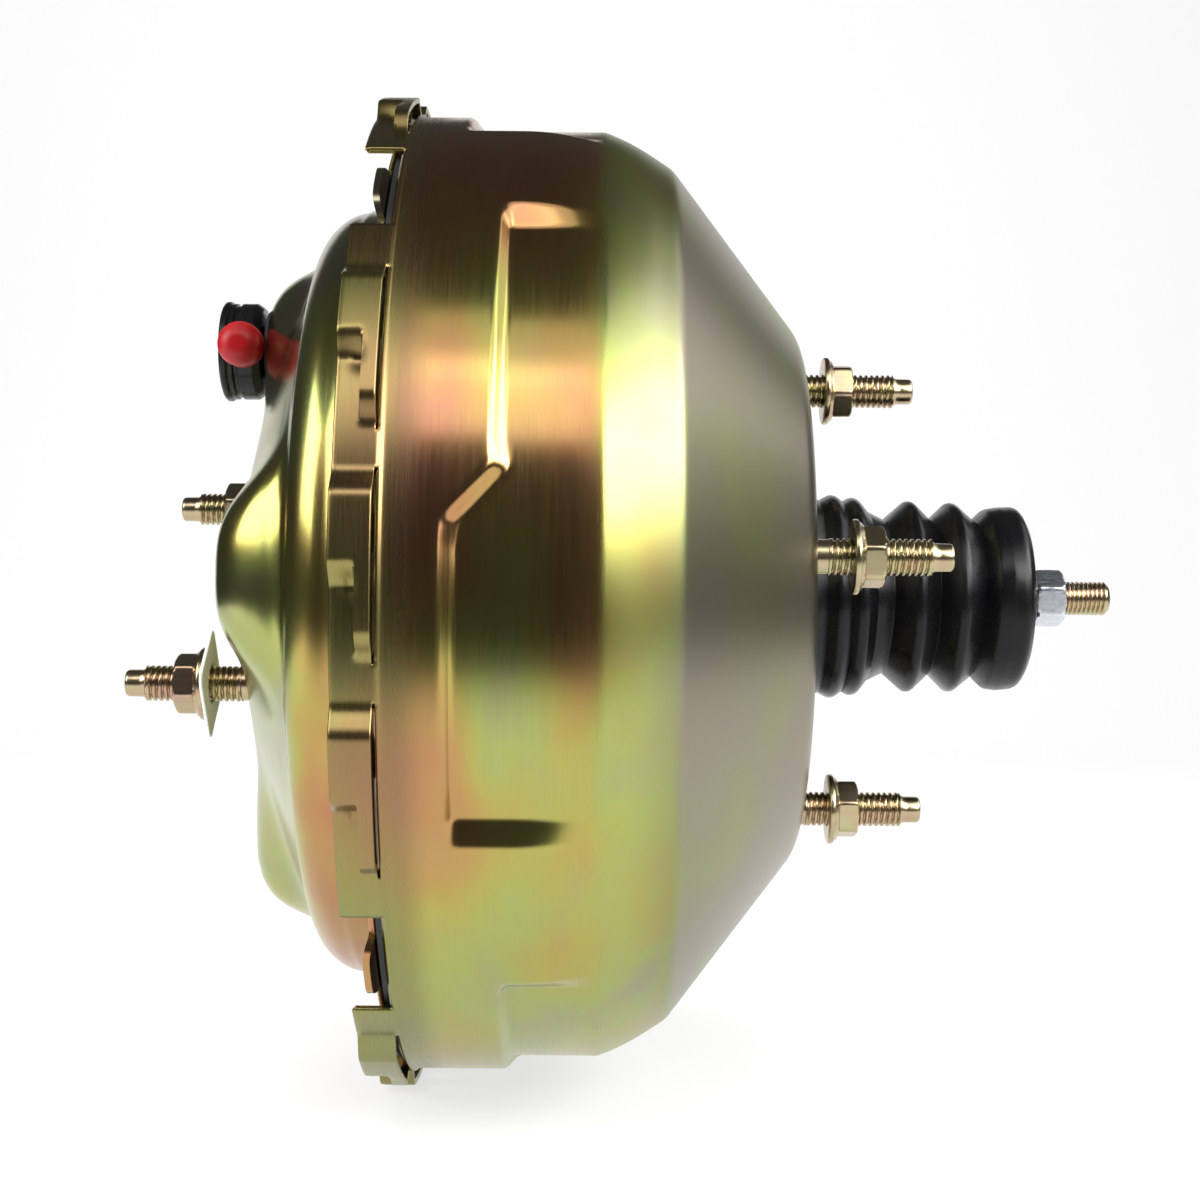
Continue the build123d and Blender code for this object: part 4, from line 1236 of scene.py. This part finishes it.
@dataclass
class PedalRod(SubAssembly):
    """Pedal rod with its threaded end and jam nut."""

    body: str = "pedal_link"
    tip_x: float = 90.5
    nut_x: float = 68.9
    nut_thick: float = 8.5
    flats: float = 14.3
    major_r: float = 4.76
    pitch: float = 1.27
    thread_from: float = 60.0
    thread_depth: float = 0.52
    ball_x: float = -14.0
    ball_r: float = 5.5

    def build(self, rod_finish: bpy.types.Material, nut_finish: bpy.types.Material) -> None:
        """Build the rod and the nut.

        Args:
            rod_finish: Plate of the rod.
            nut_finish: Plate of the nut.
        """
        ball = [
            (self.ball_x - self.ball_r * math.cos(a), self.ball_r * math.sin(a))
            for a in np.linspace(0.02, 2.42, 14)
        ]
        shank = [(0.0, 3.6), (2.0, 4.68), (33.4, 4.68), (33.5, 10.2)]
        shank += [(33.8, 10.4), (34.8, 10.4), (35.1, 10.2), (35.2, 4.68)]
        start, end = self.thread_from, self.tip_x - 1.1
        rows = np.arange(start, end, 0.16)
        clock = clock_ring(40)
        groove = thread_groove(rows, clock, self.pitch)
        near = soft_ramp((rows - start) / 2.0) * (1.0 - soft_ramp((rows - end + 0.8) / 0.9))
        radius = self.major_r - self.thread_depth * groove * near[:, None]
        plain = np.array(ball + shank)
        tip = np.array([(self.tip_x - 0.7, 4.2), (self.tip_x - 0.1, 3.6), (self.tip_x, 3.2), (self.tip_x, 0.01)])
        xs = stacked(clock, plain[:, :1], rows[:, None], tip[:, :1])
        rs = stacked(clock, plain[:, 1:], radius, tip[:, 1:])
        rod = grid_piece("pedal_rod_threaded", turned_points(xs, rs, clock[None, :]), flat_angle=42.0)
        self.seat(rod, rod_finish, "yellow_zinc_fastener", ["pedal_rod"])
        self.seat(self.nut(), nut_finish, "clear_zinc_nut", ["rod_jam_nut"])

    def nut(self) -> bpy.types.Object:
        """Return the jam nut in place."""
        corner = self.flats / 2.0 / math.cos(math.pi / 6.0)
        clock = clock_ring(96)
        hexagon = hexagon_radius(clock, self.flats, 0.12, 8.0)
        t = self.nut_thick
        outline = [
            (0.5, 4.9), (0.0, 5.5), (0.0, corner - 1.7), (0.12, corner - 1.25), (0.45, corner - 0.65),
            (0.95, corner - 0.2), (1.5, corner), (t / 2, corner), (t - 1.5, corner), (t - 0.95, corner - 0.2),
            (t - 0.45, corner - 0.65), (t - 0.12, corner - 1.25), (t, corner - 1.7), (t, 5.5), (t - 0.5, 4.9),
        ]
        xs, rs = np.array(outline).T
        radius = np.where(rs[:, None] > 6.0, np.minimum(rs[:, None], hexagon[None, :]), rs[:, None])
        points = turned_points(self.nut_x + xs[:, None], radius, clock[None, :])
        return grid_piece("rod_jam_nut_pressed", points, None, True, 32.0)


@dataclass
class CheckValve(SubAssembly):
    """Black check valve in its grommet, with the red cap on its hose barb."""

    body: str = "check_valve"
    radius: float = 71.0
    clock: float = 100.0
    barb_x: float = -156.9
    barb_reach: float = 23.0
    valve_r: float = 14.0

    def centre(self) -> Vector:
        """Return the foot of the valve axis in the YZ plane, in millimetres."""
        angle = math.radians(self.clock)
        return Vector((0.0, -self.radius * math.cos(angle), self.radius * math.sin(angle)))

    def build(
        self, plastic: bpy.types.Material, rubber: bpy.types.Material, cap_finish: bpy.types.Material
    ) -> None:
        """Build the valve, its lid, the grommet and the cap.

        Args:
            plastic: Black plastic of the valve.
            rubber: Rubber of the grommet.
            cap_finish: Red plastic of the cap.
        """
        place = Matrix.Translation(self.centre() * MM)
        body = lathe("body", self.body_corners(), 0.4, 96)
        lid = lathe("lid", self.lid_corners(), 0.3, 96)
        aim = place @ Matrix.Translation((self.barb_x * MM, 0, 0)) @ Matrix.Rotation(-math.pi / 2, 4, "Z")
        barb = moved(lathe("barb", self.barb_corners(), 0.3, 48), aim)
        valve = joined("valve_body_moulded", [moved(body, place), barb])
        self.seat(valve, plastic, "valve_plastic", ["valve_body"])
        self.seat(moved(lid, place), plastic, "valve_plastic", ["valve_cover"]).name = "valve_lid_moulded"
        grommet = lathe("valve_grommet_rubber", self.grommet_corners(), 0.4, 72)
        self.seat(moved(grommet, place), rubber, "seal_rubber", ["valve_grommet"], "housing")
        cap = lathe("barb_cap_soft", self.cap_corners(), 0.3, 72)
        self.seat(moved(cap, aim), cap_finish, "cap_plastic", ["barb_cap"], "hose_cap")

    def body_corners(self) -> list[tuple[float, float, float]]:
        """Return the closed outline of the valve body."""
        r = self.valve_r
        return [
            (-162.1, r - 2.0, 0), (-162.1, r - 0.1, 0.3), (-160.6, r - 0.1, 0.4), (-160.3, r - 0.7, 0.3),
            (-159.3, r - 0.7, 0.3), (-159.0, r - 0.1, 0.3), (-154.8, r - 0.1, 0.8), (-152.7, r - 1.6, 0.8),
            (-152.6, 7.4, 0.5), (-144.0, 7.4, 0.3), (-143.6, 7.6, 0.2), (-141.1, 6.2, 0.3), (-141.1, 4.1, 0.2),
            (-154.1, 4.1, 0.2), (-154.1, r - 2.0, 0),
        ]

    def lid_corners(self) -> list[tuple[float, float, float]]:
        """Return the closed outline of the rounded front lid."""
        r = self.valve_r
        return [
            (-164.3, 0.02, 0), (-164.3, 8.5, 0.6), (-163.9, 9.0, 0.4), (-163.9, 10.6, 0.4), (-164.3, 11.2, 0.5),
            (-164.35, r - 0.2, 0.9), (-163.6, r + 0.45, 0.6), (-162.5, r + 0.45, 0.5), (-162.0, r - 0.1, 0.2),
            (-162.0, 0.02, 0),
        ]

    def barb_corners(self) -> list[tuple[float, float, float]]:
        """Return the closed outline of the hose barb, root first."""
        reach = self.barb_reach
        return [
            (11.6, 2.6, 0), (11.6, 5.6, 0.3), (14.0, 5.2, 0.8), (14.8, 4.35, 0.5), (reach - 6.4, 4.2, 0.3),
            (reach - 6.0, 4.85, 0.2), (reach - 3.8, 3.9, 0.3), (reach - 0.1, 3.7, 0.4), (reach - 0.1, 2.6, 0.2),
        ]

    def grommet_corners(self) -> list[tuple[float, float, float]]:
        """Return the closed outline of the grommet."""
        return [
            (-151.7, 7.7, 0.3), (-151.7, 11.2, 0.8), (-150.9, 11.95, 0.5), (-149.9, 11.9, 0.3), (-149.8, 9.0, 0.2),
            (-147.6, 9.0, 0.2), (-147.5, 9.6, 0.2), (-145.4, 8.8, 0.4), (-145.4, 7.7, 0.2),
        ]

    def cap_corners(self) -> list[tuple[float, float, float]]:
        """Return the closed outline of the round cap, mouth first."""
        start, end = self.barb_reach - 7.9, self.barb_reach + 1.6
        return [
            (start, 5.2, 0.2), (start, 6.3, 0.4), (start + 1.0, 6.35, 0.3), (start + 1.3, 6.0, 0.2),
            (start + 2.0, 6.1, 0.2), (start + 2.4, 6.36, 0.2), (end - 0.1, 6.36, 5.0), (end, 0.02, 0),
            (end - 1.2, 0.02, 0), (end - 1.2, 3.4, 1.0), (end - 3.4, 5.2, 0.8),
        ]


@dataclass
class InnerWorks(SubAssembly):
    """CAD nodes that keep their form and take a finish; the springs and the diaphragm get meshes of their own."""

    finishes: dict[str, Sequence[str]] = field(default_factory=dict)

    FLEXING = {
        "return_spring": ("power_piston_slide", -0.1439, 0.032),
        "diaphragm": ("power_piston_slide", -0.1063, 0.032),
        "air_valve_spring": ("air_valve_slide", None, 0.0025),
        "valve_spring": ("check_disc_lift", -0.1619, 0.0012),
    }

    def flex(self, nodes: dict[str, bpy.types.Object]) -> None:
        """Give the springs and the diaphragm each a mesh of their own.

        The air-valve spring's fixed end is its far one, at the rod collar.

        Args:
            nodes: CAD nodes by name.
        """
        for name, (joint, fixed_end, travel) in self.FLEXING.items():
            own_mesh(nodes[name])

    def dress(self, nodes: dict[str, bpy.types.Object], materials: dict[str, bpy.types.Material]) -> None:
        """Put a finish on each carried-over node.

        Args:
            nodes: CAD nodes by name.
            materials: Finishes by name.
        """
        for finish, names in self.finishes.items():
            for name in names:
                for holder in nodes[name].material_slots:
                    holder.material = materials[finish]
                LOG.info("%s: %s", name, finish)


# Studio


@dataclass
class Studio:
    """Pale floor and backdrop, soft lamps and the photograph's camera."""

    floor_z: float = -137.4
    floor_front: float = -680.0
    back: float = 1500.0
    half_width: float = 950.0
    middle_x: float = -30.0
    sweep_r: float = 500.0
    backdrop: float = 1000.0
    sensor: float = 36.0
    frame_px: float = 1200.0
    focal_px: float = 1947.36
    eye: tuple[float, float, float] = (-54.97, -557.6, 4.09)
    turn: tuple[float, float, float] = (-0.0281, -0.5847, -0.4895)

    # Name, place and aim in metres, width and height, watts, and whether shiny pieces show the lamp.
    LAMPS = (
        ("key_strip", (-0.05, -0.74, 0.66), (-0.05, -0.13, 0.03), (1.2, 0.30), 2.7, True),
        ("key_tail", (-0.05, -0.62, 0.86), (-0.05, -0.13, 0.03), (1.2, 0.30), 1.25, True),
        ("right_window", (0.575, -0.41, 0.46), (-0.045, -0.11, 0.05), (1.0, 0.78), 4.0, True),
        ("right_core", (0.59, -0.42, 0.400), (-0.045, -0.11, 0.05), (1.0, 0.38), 9.0, True),
        ("side_glow", (0.76, 0.20, 0.60), (-0.02, -0.05, 0.05), (0.7, 0.6), 1.6, True),
        ("left_softbox", (-0.80, -0.35, 0.42), (-0.12, -0.05, 0.03), (0.50, 0.45), 4.2, True),
        ("floor_fill", (-0.35, 0.1, 1.4), (0.0, 0.2, -0.14), (1.6, 1.4), 26.0, False),
        ("card_fill", (-0.9, -0.2, 0.1), (-0.16, -0.05, 0.0), (0.5, 0.5), 5.0, False),
    )

    def floor(self) -> bpy.types.Object:
        """Return the floor that sweeps up into a backdrop."""
        corners = [(self.floor_front, 0.0, 0), (self.back, 0.0, self.sweep_r), (self.back, self.backdrop, 0)]
        path = bent_path(corners, 40.0)
        across = np.linspace(-self.half_width, self.half_width, 5)
        points = np.array([(x + self.middle_x, y, z + self.floor_z) for y, z in path for x in across])
        n = len(across)
        faces = [
            (i * n + j, i * n + j + 1, (i + 1) * n + j + 1, (i + 1) * n + j)
            for i in range(len(path) - 1)
            for j in range(n - 1)
        ]
        piece = linked_piece("studio_floor", points, faces)
        piece.data.materials.append(self.paper())
        return piece

    def paper(self) -> bpy.types.Material:
        """Return the floor paper, white near the piece and darkened towards the front as painted shade."""
        sheet = ShaderSheet("studio_paper")
        spot = sheet.place()
        grain = sheet.noise(spot, 400.0, 3.0, 0.6)
        tone = sheet.mix(grain.spread(0.3, 0.7, 0.0, 0.4), (0.90, 0.90, 0.90), (0.875, 0.875, 0.88))
        depth = sheet.coordinate(spot, 1)
        # Painted shade on the floor: it darkens towards the front, nearly to black, and its white glow fades with it,
        # so the metal reflects a dim floor there.
        lit = depth.spread(-0.19, -0.13, 0.80, 1.0) * depth.spread(-0.58, -0.21, 0.05, 1.0)
        tone = sheet.mix(lit, (0.02, 0.02, 0.02), tone)
        paper = sheet.node("ShaderNodeBsdfDiffuse", {}, {"Color": tone})
        glow = sheet.node("ShaderNodeEmission", {}, {"Color": (1.0, 1.0, 1.0, 1.0), "Strength": 1.0})
        seen = sheet.node("ShaderNodeLightPath", output="Is Camera Ray")
        glossy = sheet.node("ShaderNodeLightPath", output="Is Glossy Ray")
        through = sheet.node("ShaderNodeLightPath", output="Is Transmission Ray")
        share = (seen + glossy + through).at_most(1.0) * 0.70 * lit
        mixed = sheet.node("ShaderNodeMixShader", {}, {0: share, 1: paper, 2: glow})
        sheet.node("ShaderNodeOutputMaterial", {}, {"Surface": mixed})
        return sheet.material

    def world(self) -> None:
        """Set a soft world that is dim in front and bright above."""
        world = bpy.data.worlds.new("studio_world")
        bpy.context.scene.world = world
        sheet = ShaderSheet("studio_world", world)
        height = sheet.coordinate(sheet.node("ShaderNodeTexCoord", output="Generated"), 2)
        share = sheet.node("ShaderNodeMapRange", {}, {0: height, 1: -1.0, 2: 1.0})
        stops = [(0.0, 0.06), (0.45, 0.055), (0.60, 0.06), (0.85, 0.07), (1.0, 0.07)]
        sky = sheet.ramp(share, [(place, (grey, grey, grey)) for place, grey in stops])
        shade = sheet.node("ShaderNodeBackground", {}, {"Color": sky, "Strength": 1.0})
        sheet.node("ShaderNodeOutputWorld", {}, {"Surface": shade})

    def lamps(self) -> None:
        """Add the rectangular soft lamps of the table."""
        for name, place, aim, size, watts, in_mirror in self.LAMPS:
            data = bpy.data.lights.new(name, "AREA")
            data.shape = "RECTANGLE"
            data.size, data.size_y = size
            data.energy = watts
            lamp = bpy.data.objects.new(name, data)
            bpy.context.scene.collection.objects.link(lamp)
            lamp.location = place
            lamp.visible_glossy = in_mirror
            lamp.rotation_euler = (Vector(aim) - Vector(place)).to_track_quat("-Z", "Y").to_euler()

    def camera(self) -> None:
        """Add the camera at the photograph's viewing angle."""
        yaw, pitch, roll = (math.radians(a) for a in self.turn)
        spin = Matrix.Rotation(yaw, 3, "Z") @ Matrix.Rotation(pitch, 3, "X") @ Matrix.Rotation(roll, 3, "Y")
        right, forward, up = spin.col[0], spin.col[1], spin.col[2]
        data = bpy.data.cameras.new("photo_camera")
        data.sensor_width = self.sensor
        data.lens = self.focal_px / self.frame_px * self.sensor
        data.clip_start, data.clip_end = 0.01, 20.0
        camera = bpy.data.objects.new("photo_camera", data)
        bpy.context.scene.collection.objects.link(camera)
        pose = Matrix((right, up, -forward)).transposed().to_4x4()
        pose.translation = Vector(self.eye) * MM
        camera.matrix_world = pose
        bpy.context.scene.camera = camera

    def build(self) -> None:
        """Build the floor, the world, the lamps and the camera."""
        bpy.context.scene.view_settings.view_transform = "Standard"
        self.floor()
        self.world()
        self.lamps()
        self.camera()


def finishes() -> dict[str, bpy.types.Material]:
    """Return every finish of the booster by name."""
    chosen = [
        YellowZinc("shell_plate", Grain.AROUND_AXIS, 9.0, 0.22, 0.20, Zones.DRUM),
        YellowZinc("cover_plate", Grain.NONE, 9.0, 0.56, 0.22, Zones.COVER),
        YellowZinc("fastener_plate", Grain.ALONG_AXIS, 60.0, 0.38, 0.25, Zones.NONE, 0.45),
        PlainMetal("clear_zinc", (0.62, 0.65, 0.70), 0.28),
        PlainMetal("bright_steel", (0.56, 0.56, 0.57), 0.30),
        PlainMetal("spring_wire", (0.30, 0.31, 0.33), 0.38),
        MouldedSkin("boot_rubber", (0.003, 0.003, 0.0035), (0.006, 0.006, 0.007), 0.25, 0.00001, 0.24),
        MouldedSkin("seal_rubber", (0.016, 0.016, 0.017), (0.045, 0.044, 0.043), 0.55),
        MouldedSkin("valve_plastic", (0.004, 0.004, 0.0045), (0.010, 0.010, 0.011), 0.22, 0.00001, 0.32),
        MouldedSkin("cap_plastic", (0.30, 0.004, 0.006), (0.36, 0.010, 0.012), 0.34, 0.00001, 0.35),
        MouldedSkin("hub_plastic", (0.06, 0.05, 0.045), (0.11, 0.09, 0.08), 0.45),
        MouldedSkin("bearing_plastic", (0.74, 0.73, 0.68), (0.60, 0.58, 0.52), 0.42),
        Fibre("card_stock", (0.90, 0.90, 0.90), (0.82, 0.82, 0.82), 2600.0, 0.00002),
        Fibre("filter_foam", (0.30, 0.30, 0.32), (0.10, 0.10, 0.11), 1200.0, 0.0004),
    ]
    return {finish.name: finish.material() for finish in chosen}


def main() -> None:
    """Load the frame, build every sub-assembly and the studio."""
    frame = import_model()
    plate = finishes()
    RearShell().build(plate["shell_plate"])
    FrontShell().build(plate["cover_plate"])
    clock = SQUARE_CLOCK
    rear = StudSet(
        side=Side.PEDAL, places=[(60.6, clock + 90.0 * k) for k in range(4)], foot_x=-1.0, tip_x=35.5, nut_x=9.5,
        thread_from=4.2, nut_turns=(12.0, 100.0, 40.0, 72.0),
    )
    rear.build(plate["fastener_plate"], ("firewall_studs", "firewall_nuts"))
    front = StudSet(
        side=Side.CYLINDER, places=[(42.85, clock - 45.0), (42.85, clock + 135.0)], foot_x=-147.0, tip_x=-181.5,
        nut_x=-159.6, thread_from=3.0, nut_turns=(8.0, 50.0),
    )
    front.build(plate["fastener_plate"], ("front_studs", "front_nuts"))
    StudCard().build(plate["card_stock"])
    Bellows().build(plate["boot_rubber"])
    PedalRod().build(plate["fastener_plate"], plate["clear_zinc"])
    CheckValve().build(plate["valve_plastic"], plate["seal_rubber"], plate["cap_plastic"])
    works = InnerWorks(
        finishes={
            "bright_steel": [
                "rear_plate", "front_plate", "rod_seal_retainer", "hub_seal_retainer", "plate_lock_ring",
                "reaction_retainer", "output_rod", "output_rod_screw", "poppet_retainer", "air_valve",
            ],
            "spring_wire": ["return_spring", "valve_spring", "poppet_spring", "air_valve_spring"],
            "seal_rubber": ["rod_seal", "hub_seal", "diaphragm", "valve_disc", "reaction_disc", "poppet_valve"],
            "hub_plastic": ["piston_hub"],
            "bearing_plastic": ["hub_bearing"],
            "shell_plate": ["diaphragm_plate"],
            "filter_foam": ["air_filter", "filter_silencer"],
        }
    )
    works.dress(frame["nodes"], plate)
    works.flex(frame["nodes"])
    Studio().build()


if __name__ == "__main__":
    logging.basicConfig(level=logging.INFO)
    main()
